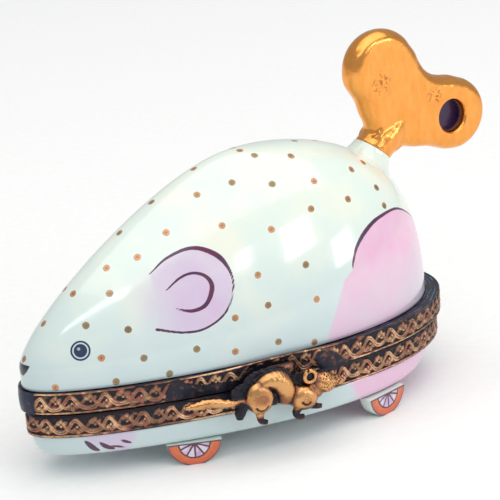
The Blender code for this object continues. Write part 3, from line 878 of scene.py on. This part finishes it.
def skin_side():
    """x, rising, and the half width of the base's flank there, at mid height."""
    angle = np.linspace(0, math.pi, 400)
    ring = base_ring(angle, 0.0, 1.9, 3.9, 0.87, 0.36)
    return ring[:, 0], -ring[:, 1]


# Wheels


WHEEL_RADIUS, WHEEL_THICK, WHEEL_CENTRE_Z = 4.5, 2.5, 4.3
WHEEL_TOP = BASE_BOTTOM - 0.02
HUB_RADIUS = 2.55
SPOKES = (22, 56, 90, 124, 158)  # degrees
WHEELS = {"front": ((-17.0, 12.8), math.radians(-24)), "rear": ((18.2, 17.6), math.radians(13))}


def wheel_look():
    """Glazed porcelain: an orange tyre with plum outlines, and a white hub with plum spokes."""
    look = Look("wheel_paint", roughness=0.1, ior=1.5, coat_weight=0.6, coat_roughness=0.02)
    brush = look.noise(0.5, 3.0)
    wobble = (look.noise(0.7, 2.0) - 0.5) * BRUSH_WOBBLE
    radius = look.field("radius") + wobble
    edge = look.field("edge") + wobble * 0.5
    tyre = look.mix(look.step(brush, 0.3, 0.75), tone(212, 100, 50), tone(226, 122, 68))
    tyre = look.mix(look.step(look.field("edge"), 1.3, 0.2), tyre, tone(206, 92, 62))
    patch = look.step(look.noise(1.2, 2.0), 0.35, 0.65)
    hub = look.mix(patch, tone(224, 210, 226), tone(196, 168, 204))
    colour = look.mix(look.step(radius, HUB_RADIUS - 0.04, HUB_RADIUS + 0.04), hub, tyre)
    line = look.step(abs(radius - HUB_RADIUS), 0.17, 0.09) | look.step(edge, 0.30, 0.18)
    line = line | look.step(look.field("top"), 0.26, 0.16)
    line = line | look.step(look.field("spoke") + wobble * 0.4, 0.19, 0.10)
    colour = look.mix(line, colour, look.mix(brush, tone(96, 32, 60), tone(66, 34, 66)))
    look.set("Base Color", look.mix(look.field("face"), PORCELAIN, colour))
    look.bump(line + look.noise(2.5) * 2.0, 0.03)
    return look.material


def make_wheel(name, place, turn, side, look):
    """A half-disc foot, painted on its outer face; side is -1 on the mouse's left."""
    rise = WHEEL_CENTRE_Z - WHEEL_TOP
    angle = np.linspace(0, math.pi, 97)
    reach = np.sqrt(WHEEL_RADIUS**2 - (rise * np.cos(angle)) ** 2) - rise * np.sin(angle)
    loop = rows(reach * np.cos(angle), -reach * np.sin(angle))
    loop = np.concatenate((loop, np.linspace(loop[-1], loop[0], 42)[1:-1]))
    loop[:, 1] = np.maximum(loop[:, 1], -WHEEL_TOP)
    middle = np.array((0.0, -1.7))
    levels = [(share, 0.0) for share in np.linspace(0.03, 0.955, 34)]
    levels += [(0.985, 0.06), (1.0, 0.2), (1.0, 1.2), (1.0, WHEEL_THICK - 0.2), (0.97, WHEEL_THICK)]
    levels += [(0.6, WHEEL_THICK), (0.2, WHEEL_THICK)]
    rings = []
    for share, depth in levels:
        flat = middle + (loop - middle) * share
        rings.append(rows(flat[:, 0], depth, WHEEL_TOP + flat[:, 1]))
    points, faces = ringed(rings)
    x, depth, z = points.T
    down = WHEEL_TOP - z
    radius = np.hypot(x, down)
    spokes = [np.abs(x * math.sin(tilt) - down * math.cos(tilt)) for tilt in np.radians(SPOKES)]
    fields = {
        "radius": radius,
        "edge": WHEEL_RADIUS - np.hypot(x, z - WHEEL_CENTRE_Z),
        "top": down,
        "spoke": np.where(radius < HUB_RADIUS, np.min(spokes, 0), FAR),
        "face": smoothstep(depth, 0.16, 0.02),
    }
    cosine, sine = math.cos(-side * turn), math.sin(-side * turn)
    inward = -side * depth
    placed = rows(place[0] + x * cosine - inward * sine, side * place[1] + x * sine + inward * cosine, z)
    made = piece(name + "_look", placed, faces, "base", "wheel_paint", look, fields, 50)
    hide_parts(name)


# Rims


VINE_PERIOD = 5.1
BAND_HEIGHT = 3.65
RELIEF = 0.42
RIM_COLUMNS = 1560
RIM_ROWS = 48
RIM_SEED = 11

# Smooth dark patches in the relief beside the clasp, as x and rise above the seam.
LID_HOLLOW = (
    (-21.8, 0.0), (-21.2, 2.0), (-20.4, 3.7), (-19.2, 3.8), (-18.2, 2.9), (-16.6, 2.2), (-14.4, 1.8),
    (-12.0, 1.7), (-9.5, 1.8), (-8.6, 2.7), (-6.0, 3.6), (-1.5, 3.6), (0.0, 2.4), (0.0, 0.0),
)
LID_BOSS = ((3.4, 2.4), (4.2, 3.5), (5.8, 3.7), (7.6, 2.7), (9.4, 1.0), (11.5, 0.2), (4.5, 0.0))
BASE_HOLLOW = (
    (-19.6, 0.2), (-17.7, -0.6), (-14.6, -0.8), (-10.6, -1.4), (-8.0, -1.8), (3.0, -1.6), (5.0, 0.2),
)
LEAVES = ((-0.95, 0.60), (0.0, 0.78), (0.95, 0.60))  # tilt and reach


def dome(distance, radius):
    return np.sqrt(np.clip(1 - (distance / radius) ** 2, 0, 1))


def vine(along, across, period):
    """The cast relief, 0 to 1: a double stem that winds between leaves, and a thinner one across it."""
    turn = FULL_TURN * along / period
    height = np.zeros(len(along))
    for phase, swing, half, level in ((0.0, 1.0, 0.42, 1.0), (math.pi, 0.95, 0.32, 0.84)):
        lean = turn + phase + 0.42 * np.cos(turn + phase)
        wave = -swing * np.sin(lean)
        slope = -swing * np.cos(lean) * FULL_TURN / period
        off = (across - wave) / np.sqrt(1 + slope**2)
        groove = 1 - 0.42 * bell(off, 0.10)
        over = 0.84 - 0.16 * np.tanh(slope)
        height = np.maximum(height, level * over * dome(off, half) * groove)
    for side in (-1, 1):
        cell = along / period - (0.30 if side > 0 else 0.80)
        place = (cell - np.round(cell)) * period
        for tilt, reach in LEAVES:
            sine, cosine = math.sin(tilt), math.cos(tilt)
            leaf_x = place - reach * sine * 1.15
            leaf_y = side * across - 0.22 - reach * cosine
            tall = leaf_x * sine + leaf_y * cosine
            wide = leaf_x * cosine - leaf_y * sine
            vein = 1 - 0.35 * bell(wide, 0.07)
            height = np.maximum(height, 0.85 * dome(np.hypot(tall / 0.56, wide / 0.34), 1.0) * vein)
        berry = np.hypot(place, side * across - 0.10)
        height = np.maximum(height, 0.86 * dome(berry, 0.27))
    return height


def cast_noise(columns, rows, size, seed):
    """Smooth noise, about -1 to 1, for each row and column of a relief; size is in columns."""
    scatter = np.random.default_rng(seed).normal(size=(rows, columns))
    across, along = np.fft.fftfreq(rows), np.fft.fftfreq(columns)
    keep = np.exp(-((across[:, None] * size) ** 2 + (along * size) ** 2) * 4)
    made = np.fft.ifft2(np.fft.fft2(scatter) * keep).real
    return made / (2 * made.std())


def make_rim(name, node, seam, up, inset, body, slot, look, crown=0.0, block=0.0, hollows=(), bosses=()):
    """A rim: a band in relief, a plain ledge against the porcelain and a flange at the seam.

    Above the clasp the band is taller by crown; block is half the width of a plain stretch at the
    nose. Hollows and bosses are smooth patches on the clasp's side, sunk into the relief or level."""
    angle, length = even_angles(RIM_COLUMNS)
    along = np.arange(RIM_COLUMNS) / RIM_COLUMNS * length
    period = length / round(length / VINE_PERIOD)
    around = FULL_TURN * along / length
    x, y, _ = outline(angle, 0.0, 0.0).T
    near = y < 0
    bow = crown * near * bell(x + 2.0, 9.0)
    plain_front = smoothstep(np.abs(y), block + 0.3, block - 0.3) * (x < 0) * (block > 0)
    rough, swell, knots = (
        cast_noise(RIM_COLUMNS, RIM_ROWS, size, RIM_SEED + index) for index, size in enumerate((5, 40, 9))
    )
    open_edge = smoothstep(x, 4.0, 12.0) * (block > 0)

    rings, fields = [], {"relief": [], "plain": [], "streak": []}

    def row(inward, height, relief=0.6, plain=0.0, streak=0.0):
        rings.append(outline(angle, seam + up * height, inset + inward))
        for field, value in zip(fields, (relief, plain, streak)):
            fields[field].append(np.broadcast_to(value, angle.shape))

    for index, share in enumerate(np.linspace(0, 1, RIM_ROWS)):
        across = (share - 0.5) * BAND_HEIGHT
        height = (BAND_HEIGHT + bow) * share
        drift = 0.10 * np.sin(11 * around) + 0.10 * np.sin(17 * around + 1.0) + 0.08 * swell[index]
        wander = along + 0.22 * np.sin(7 * around) + 0.16 * np.sin(23 * around + 2.0)
        relief = vine(wander, up * (across + drift), period)
        relief = relief * (0.90 + 0.14 * swell[index] + 0.10 * knots[index])
        relief += (0.16 + 0.15 * rough[index] + 0.13 * knots[index]) * (1.05 - relief)
        worn = np.clip(0.74 + 0.22 * swell[index] + 0.16 * rough[index], 0.2, 1)
        relief = np.maximum(relief, dome(across + 1.62, 0.19) * worn)
        relief = np.maximum(relief, dome(across - 1.60, 0.22) * worn * (1 - 0.75 * open_edge))
        # Painted shade in the gap between the rims: on the base rim the relief falls to nothing towards
        # the seam, so the band both sinks there and turns its darkest tone.
        if not block:
            relief *= smoothstep(share, 0.0, 0.20)
        rise = seam + up * height - SEAM_Z
        smooth = np.zeros(len(x))
        for patches, level in ((hollows, 0.02), (bosses, 0.85)):
            for patch in patches:
                edge = inside(x, rise, patch) + 0.15 * swell[index]
                mask = smoothstep(edge, -0.15, 0.35) * near
                bulge = level + 0.25 * (level > 0.5) * smoothstep(edge, 0.0, 1.2)
                bulge = np.minimum(bulge + 0.05 * swell[index] + 0.05 * rough[index], 1)
                relief = relief * (1 - mask) + bulge * mask
                smooth = np.maximum(smooth, mask)
        round_block = 0.60 + 0.35 * math.cos((share - 0.5) * math.pi)
        relief = relief * (1 - plain_front) + round_block * plain_front
        shade = relief * (1 - np.maximum(smooth, plain_front)) + 0.22 * smooth * (1 + rough[index])
        sunk = RELIEF * (1 - np.clip(relief, 0, 1))
        row(sunk, height, shade, np.maximum(0.35 * smooth, plain_front))
    for inward in (0.16, 0.30, 0.45, 0.65, 0.9, 1.2, 1.5, 1.8, 2.1, 2.4):
        settle = bow * smoothstep(inward, 1.3, 0.3)
        wave = 1.1 * np.sin(13 * around) + 0.6 * np.sin(31 * around + 2)
        streak = 0.5 + 0.5 * np.sin(9.0 * inward + wave)
        row(inward, BAND_HEIGHT + settle - 0.10 * smoothstep(inward, 0.1, 0.5), 0.5, 1.0, streak)
    for inward, height in ((2.4, 3.15), (1.5, 3.15), (1.5, 1.4), (1.5, 1.1), (5.4, 1.1), (5.4, 0.55)):
        row(inward, height if inward < 5 else min(height, 0.7))
    for inward in (5.4, 5.2, 4.3, 3.4, 2.5, 1.7, 1.2, 0.8):
        row(inward, 0.0, 0.75)
    points, faces = ringed(rings, wrap=True)
    fields = {field: np.concatenate(values) for field, values in fields.items()}
    made = piece(name, points, faces, body, slot, look, fields, 40)
    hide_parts(node)


# Cast and turned brass


def point_normals(points, faces):
    normals = np.zeros_like(points)
    for group in faces:
        corners = points[group]
        cross = np.cross(corners[:, 2] - corners[:, 0], corners[:, -1] - corners[:, 1])
        for corner in group.T:
            normals += rows(*(np.bincount(corner, axis, len(points)) for axis in cross.T))
    return unit(normals)


def ridges(points, faces, rounds, depth):
    """How far each point stands out of its surroundings, as a relief from about 0 to 1."""
    mean, level = neighbour_mean(faces, len(points)), points
    for _ in range(rounds):
        level = mean(level)
    standing = ((points - level) * point_normals(points, faces)).sum(1)
    return 0.62 + standing / depth


def bent(points):
    """Points given as x along the band, distance out of it and z, wrapped round the rims' outline."""
    return band_point(points[:, 0], points[:, 1], points[:, 2])


def blob(centre, size, tilt=0.0, yaw=0.0):
    """An ellipsoid: its middle as x, distance out and rise above the seam, and its half sizes."""
    turn = circle_angles(32)
    rings = [
        rows(math.cos(tip) * np.cos(turn), math.cos(tip) * np.sin(turn), math.sin(tip))
        for tip in np.radians(np.linspace(-80, 80, 15))
    ]
    points, faces = ringed(rings, ends=(np.array((0, 0, -1.0)), np.array((0, 0, 1.0))))
    turned = Matrix.Rotation(math.radians(yaw), 3, "Z") @ Matrix.Rotation(math.radians(tilt), 3, "Y")
    points = (points * size) @ np.array(turned).T
    return points + (centre[0], centre[1], SEAM_Z + centre[2]), faces


def rope(line, sides=20):
    """A round rod through rows of x, distance out, rise above the seam, and radius."""
    curve = spline(line, 8)
    turn = circle_angles(sides)[:, None]
    rings = []
    for index, (x, out, rise, radius) in enumerate(curve):
        ahead = unit(curve[min(index + 1, len(curve) - 1), :3] - curve[max(index - 1, 0), :3])
        side = unit(np.cross(ahead, (0.0, 1.0, 0.0)))
        ring = np.cos(turn) * side + np.sin(turn) * np.cross(side, ahead)
        rings.append(ring * radius + (x, out, SEAM_Z + rise))
    return ringed(rings)


def block(low, high):
    """A plain box between two corners."""
    xs, ys, zs = zip(low, high)
    corners = [(x, y, z) for z in zs for y in ys for x in xs]
    faces = [(0, 2, 3, 1), (4, 5, 7, 6), (0, 1, 5, 4), (2, 6, 7, 3), (0, 4, 6, 2), (1, 3, 7, 5)]
    return np.array(corners, float), [np.array(faces)]


def arc(centre, radius, start, end, out, thick, count=9):
    """Rows for a rope along an arc; the angles are in degrees, seen from outside the band."""
    turn = np.radians(np.linspace(start, end, count))
    return rows(centre[0] + radius * np.cos(turn), out, centre[1] + radius * np.sin(turn), thick)


CROUP = (-7.35, -0.85)
HAUNCH_CREASE = ((-8.3, -2.2), (-8.0, -2.6), (-7.4, -2.85), (-6.8, -2.7), (-6.4, -2.2))
ELBOW_CREASE = ((-0.8, -2.9), (-0.4, -3.3), (0.1, -3.4), (0.5, -3.1))
MOUTH = ((7.2, -1.9), (6.4, -1.95), (5.6, -1.8))
# Ropes of the cast mouse, as x, distance out of the band, rise above the seam, and radius.
MOUSE_BACK = (
    (-8.0, 2.0, 0.3, 0.9), (-6.6, 2.1, 1.25, 1.25), (-5.2, 2.1, 1.6, 1.45), (-3.9, 2.1, 1.15, 1.65),
    (-3.0, 2.1, -0.3, 1.6), (-2.9, 2.0, -1.8, 1.3), (-3.2, 1.9, -2.9, 0.8),
)
MOUSE_LIMBS = (  # the hind legs, the forelegs and the tail
    ((-7.4, 2.3, -2.8, 0.85), (-7.5, 2.3, -4.1, 0.60), (-7.3, 2.4, -4.9, 0.52), (-6.4, 2.5, -5.25, 0.40)),
    ((-9.2, 1.9, -1.2, 0.9), (-10.2, 1.9, -2.2, 0.95), (-10.6, 2.0, -3.2, 0.85), (-10.7, 2.1, -4.0, 0.5)),
    ((-0.8, 2.3, -3.7, 0.85), (-1.5, 2.3, -4.8, 0.62), (-1.1, 2.4, -5.6, 0.52), (-0.2, 2.5, -5.75, 0.42)),
    ((0.7, 2.1, -3.9, 0.75), (1.6, 2.1, -4.5, 0.52), (2.5, 2.2, -4.75, 0.45), (3.1, 2.3, -4.8, 0.36)),
    (
        (-8.4, 2.0, -1.1, 0.9), (-10.4, 1.9, -1.25, 0.55), (-12.3, 1.85, -0.95, 0.66),
        (-14.0, 1.85, -0.5, 0.80), (-15.6, 1.85, -0.3, 0.82), (-17.2, 1.85, -0.4, 0.66),
        (-18.9, 1.8, -0.4, 0.30),
    ),
)


def make_clasp(look):
    """The cast mouse: head towards the box's rump, thick tail lying along the band."""
    solids = [
        blob((-7.35, 2.45, -0.85), (2.3, 1.35, 2.7)),
        rope(MOUSE_BACK, 28),
        blob((0.1, 2.4, -2.55), (2.3, 1.35, 2.1), 10),
        blob((-1.5, 1.85, -1.9), (1.3, 0.95, 1.9), 10),
        blob((1.9, 2.2, -1.7), (1.7, 1.1, 1.5), 25),
        blob((3.7, 2.35, -0.85), (2.2, 1.3, 1.75), 12),
        blob((5.7, 2.15, -1.25), (1.6, 1.0, 1.15), 18),
        blob((7.0, 2.1, -1.5), (0.55, 0.55, 0.50)),
        blob((3.9, 3.45, -0.35), (0.34, 0.34, 0.34)),
        rope(arc((1.0, 1.0), 0.92, 120, 460, 2.9, 0.36, 16)),
        blob((1.0, 2.25, 1.0), (1.05, 0.5, 1.05)),
        blob((2.2, 2.1, 0.0), (1.4, 0.8, 1.2), 20),
        *(rope(limb) for limb in MOUSE_LIMBS),
        blob((-5.4, 1.66, 0.45), (4.7, 0.24, 3.3), 8),
        blob((0.4, 1.66, -0.9), (3.4, 0.24, 2.6), 15),
        blob((-9.8, 1.66, 0.1), (2.0, 0.24, 1.7), 0),
    ]
    points, faces = fused(solids, 0.115, 6)
    x, out, z = points.T
    rise = z - SEAM_Z
    lines = [spline(line, 4) for line in (HAUNCH_CREASE, ELBOW_CREASE, MOUTH)]
    crease = np.min([to_line(rows(x, rise), line)[0] for line in lines], 0)
    proud = smoothstep(out, 2.3, 2.7)
    crease = bell(crease, 0.16) * proud
    spread = np.hypot(x - CROUP[0], rise - CROUP[1])
    rim = bell(spread - 2.2, 0.18) * smoothstep(x, -6.5, -5.6) * proud * (x < -4)
    rocky = np.sin(x * 3.1 + 1.3 * np.sin(rise * 4.1)) * np.sin(rise * 3.7 + 1.7 * np.sin(x * 2.3))
    rocky *= smoothstep(out, 2.3, 1.9)
    fur = np.sin(np.arctan2(rise - 0.2, x + 3.6) * 26 + 1.5 * np.sin(spread * 3))
    fur *= smoothstep(x, -6.4, -5.2) * smoothstep(x, -1.0, -1.8) * smoothstep(rise, -2.5, -1.0)
    fine = np.sin(x * 5.1 + 2.0 * np.sin(rise * 2.3)) * np.sin(rise * 4.7 + 1.5 * np.sin(x * 1.7))
    face = smoothstep(x, 2.2, 3.0) * proud
    speckle = np.sin(x * 8.5 + np.sin(rise * 5)) * np.sin(rise * 9.0 + 2 * np.sin(x * 3))
    speckle = smoothstep(speckle, 0.25, 0.6)
    tail = np.sin((x + 0.5 * rise) * 7.0) * smoothstep(x, -10.6, -11.6)
    raised = 0.01 * fine + 0.022 * fur + 0.008 * tail + 0.10 * rocky
    raised -= 0.16 * crease + 0.14 * rim + 0.08 * speckle * face
    points = points + point_normals(points, outward(points, faces)) * raised[:, None]
    # Besides the patina in the mouse's recesses (backing, creases, groove, ear hollow, speckle), the
    # relief field paints light and shade: a painted highlight where the figure stands out furthest, and
    # painted shade in the middle of the haunch, on the far hind leg, round the elbow and on the belly
    # between haunch and shoulder. It also darkens towards the bottom of the feet.
    relief = 0.12 + 0.80 * ridges(points, faces, 60, 0.50) + 0.25 * smoothstep(out, 3.0, 3.7)
    relief -= 0.9 * smoothstep(out, 2.25, 1.75) + 0.7 * crease + 0.5 * rim + 0.5 * speckle * face
    relief -= 0.7 * smoothstep(rise, -3.7, -4.5)
    relief -= 0.8 * smoothstep(np.hypot(x + 10.5, (rise + 3.0) / 1.2), 1.9, 1.2)
    relief -= 0.9 * smoothstep(np.hypot(x - 1.0, rise - 1.0), 0.72, 0.50)
    relief -= 0.30 * smoothstep(spread, 2.3, 0.5)
    relief -= 0.22 * smoothstep(np.hypot(x - 0.1, rise + 2.9), 1.8, 0.6)
    belly = smoothstep(x, -6.0, -4.6) * smoothstep(x, -1.6, -2.4)
    relief -= 0.25 * smoothstep(rise + 0.35 * x, -1.2, -3.2) * belly
    made = piece("cast_mouse", bent(points), faces, "clasp", "clasp_mouse_gilt", look, {"relief": relief})
    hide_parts("clasp_mouse")


def brass_piece(name, node, body, slot, look, points, faces, rounds=12, depth=0.25):
    fields = {"relief": ridges(points, faces, rounds, depth)}
    made = piece(name, points, faces, body, slot, look, fields, 50)
    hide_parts(node)


STUD_PROFILE = (  # distance out of the band, and radius
    (-0.4, 0.5), (0.1, 0.5), (0.5, 0.5), (0.78, 0.54), (0.92, 0.52), (1.02, 0.42), (1.08, 0.25),
)


def make_catch(look):
    """The sprung fork behind the cast mouse, and the stud that it drops over."""
    half_width, half_height, back, front = 2.25, 3.35, 0.42, 0.98

    def plate(left, right, low, high):
        return block((CLASP_X + left, back, SEAM_Z + low), (CLASP_X + right, front, SEAM_Z + high))

    solids = [
        plate(-half_width, half_width, -0.9, half_height),
        plate(-half_width, -1.0, -half_height, -0.5),
        plate(1.0, half_width, -half_height, -0.5),
        *(blob((CLASP_X + across, 0.95, 2.4), (0.34, 0.24, 0.34)) for across in (-1.3, 1.3)),
    ]
    points, faces = fused(solids, 0.1, 4)
    brass_piece("sprung_fork", "clasp_spring", "clasp", "catch_brass", look, bent(points), faces)

    turn = circle_angles(36)
    points, faces = ringed([
        rows(CLASP_X + radius * np.cos(turn), out, SEAM_Z - 2.1 + radius * np.sin(turn))
        for out, radius in STUD_PROFILE
    ])
    brass_piece("catch_stud_look", "catch_stud", "base", "catch_brass", look, bent(points), faces, 3, 0.1)


def turned_rings(profile, steps=48):
    """Rings about the hinge's axis, from pairs of x and radius."""
    turn = circle_angles(steps)
    return [
        rows(x, HINGE.y + radius * np.cos(turn), HINGE.z + radius * np.sin(turn))
        for x, radius in profile
    ]


KNUCKLE_PITCH = 3.2
# One end of a knuckle and of the pin, as x from its middle and radius.
KNUCKLE_PROFILE = ((-1.38, 0.62), (-1.38, 1.0), (-1.2, 1.17), (-0.95, 1.17), (-0.85, 1.1), (-0.75, 1.17))
PIN_PROFILE = ((-8.2, 0.2), (-8.12, 0.38), (-7.98, 0.5))


def mirrored(end, x):
    """The profile of one end and its mirror image, about x."""
    whole = (*end, *((-spot, radius) for spot, radius in end[::-1]))
    return [(x + spot, radius) for spot, radius in whole]


def make_hinge(look):
    """Five knuckles on a pin; each has a leaf on the lid's rim or the base's, with a rivet in it."""
    for index, place in enumerate(("front", "fore", "middle", "aft", "rear")):
        body = "lid" if index % 2 else "base"
        up = 1 if index % 2 else -1
        node = f"{body}_knuckle_{place}"
        x = HINGE.x + (index - 2) * KNUCKLE_PITCH
        barrel = ringed(turned_rings(mirrored(KNUCKLE_PROFILE, x)), wrap=True)
        heights = sorted((HINGE.z + up * 0.85, HINGE.z + up * 3.65))
        leaf = block((x - 1.36, HINGE.y - 1.16, heights[0]), (x + 1.36, HINGE.y - 0.62, heights[1]))
        rivet = blob((x, HINGE.y - 0.62, up * 2.5), (0.42, 0.22, 0.42))
        points, faces = fused([barrel, leaf, rivet], 0.085, 5)
        brass_piece(node + "_look", node, body, "hinge_brass", look, points, faces, 14, 0.2)
    points, faces = ringed(turned_rings(mirrored(PIN_PROFILE, HINGE.x), 32))
    brass_piece("hinge_pin_look", "hinge_pin", "base", "hinge_brass", look, points, faces, 2, 0.1)


# Studio


def make_floor():
    look = Look("studio_paper", roughness=0.9)
    grain = look.noise(2.0, 3.0)
    darker, lighter = (0.94, 0.94, 0.94, 1), (0.97, 0.97, 0.97, 1)
    look.set("Base Color", look.mix(look.step(grain, 0.2, 0.8), darker, lighter))
    look.bump(grain, 0.01)
    mesh = bpy.data.meshes.new("studio_floor")
    corners = [(-3, -3, 0), (3, -3, 0), (3, 3, 0), (-3, 3, 0)]
    mesh.from_pydata(corners, [], [(0, 1, 2, 3)])
    mesh.materials.append(look.material)
    collection_object("studio_floor", mesh)


def soft_light(name, azimuth, elevation, distance, size, power, colour=(1, 1, 1)):
    """A rectangular light that faces the object; azimuth 0 is in front of its left flank (-Y)."""
    lamp = bpy.data.lights.new(name, "AREA")
    lamp.shape = "RECTANGLE"
    lamp.size, lamp.size_y = size
    lamp.energy = power
    lamp.color = colour
    made = collection_object(name, lamp)
    across, rise = math.radians(azimuth), math.radians(elevation)
    level = math.cos(rise)
    toward = Vector((math.sin(across) * level, -math.cos(across) * level, math.sin(rise)))
    made.location = Vector((0, 0, 0.025)) + toward * distance
    made.rotation_euler = toward.to_track_quat("Z", "Y").to_euler()


def make_studio():
    make_floor()
    world = bpy.data.worlds.new("studio")
    bpy.context.scene.world = world
    world.use_nodes = True
    background = world.node_tree.nodes["Background"]
    background.inputs["Color"].default_value = (0.93, 0.97, 1.0, 1)
    background.inputs["Strength"].default_value = 0.52
    soft_light("overhead", 10, 80, 1.5, (2.0, 2.0), 18.8, (1.0, 0.975, 0.92))
    soft_light("window_left_pane", 21, 25, 0.6, (0.105, 0.15), 0.30)
    soft_light("window_right_pane", 37, 10, 0.6, (0.10, 0.12), 0.24)
    soft_light("window_sliver", 4.5, 28, 0.6, (0.03, 0.075), 0.06)
    soft_light("strip", -48, 43, 0.6, (0.30, 0.035), 0.18)
    bpy.context.scene.view_settings.view_transform = "Standard"


def make_camera():
    camera = bpy.data.cameras.new("camera")
    camera.sensor_width = 36
    camera.lens = 123.45
    camera.clip_start = 0.01
    made = collection_object("camera", camera)
    right = Vector((0.83607, -0.54421, -0.06945))
    up = Vector((0.22611, 0.22647, 0.94741))
    back = right.cross(up)
    made.matrix_world = Matrix((right, up, back)).transposed().to_4x4()
    made.matrix_world.translation = Vector((-139.55 - ORIGIN_X, -231.97, 117.95)) * MM
    bpy.context.scene.camera = made


def main():
    glaze = porcelain("porcelain", True)
    plain_glaze = porcelain("collar_porcelain", False)
    make_lid(glaze)
    make_collar(plain_glaze)
    make_key(gilding("fired_gold"))
    make_base(glaze)
    paint = wheel_look()
    for row, (place, turn) in WHEELS.items():
        make_wheel(f"wheel_{row}_left", place, turn, -1, paint)
        make_wheel(f"wheel_{row}_right", place, turn, 1, paint)
    brass = slate_ledge(antique("rim_brass"))
    make_rim(
        "lid_rim_relief", "lid_rim", LID_RIM_BOTTOM, 1, 0.0, "lid", "lid_rim_brass", brass,
        crown=0.55, block=2.6, hollows=[LID_HOLLOW], bosses=[LID_BOSS],
    )
    make_rim(
        "base_rim_relief", "base_rim", BASE_RIM_TOP, -1, BASE_RIM_INSET, "base", "base_rim_brass", brass,
        hollows=[BASE_HOLLOW],
    )
    gilt = antique("clasp_gilt", tone(220, 164, 108), tone(158, 108, 72), tone(24, 22, 34))
    make_clasp(gilt.material)
    fittings = antique("fitting_brass").material
    make_catch(fittings)
    make_hinge(fittings)

    plaster = Look("plaster", roughness=0.9)
    crumbs = plaster.noise(0.5, 4.0)
    plaster.set("Base Color", plaster.mix(crumbs, tone(150, 142, 128), tone(214, 208, 196)))
    plaster.bump(crumbs, 0.08)
    for node in ("base_cement", "lid_cement"):
        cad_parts[node].material_slots[0].material = plaster.material

    make_studio()
    make_camera()


main()
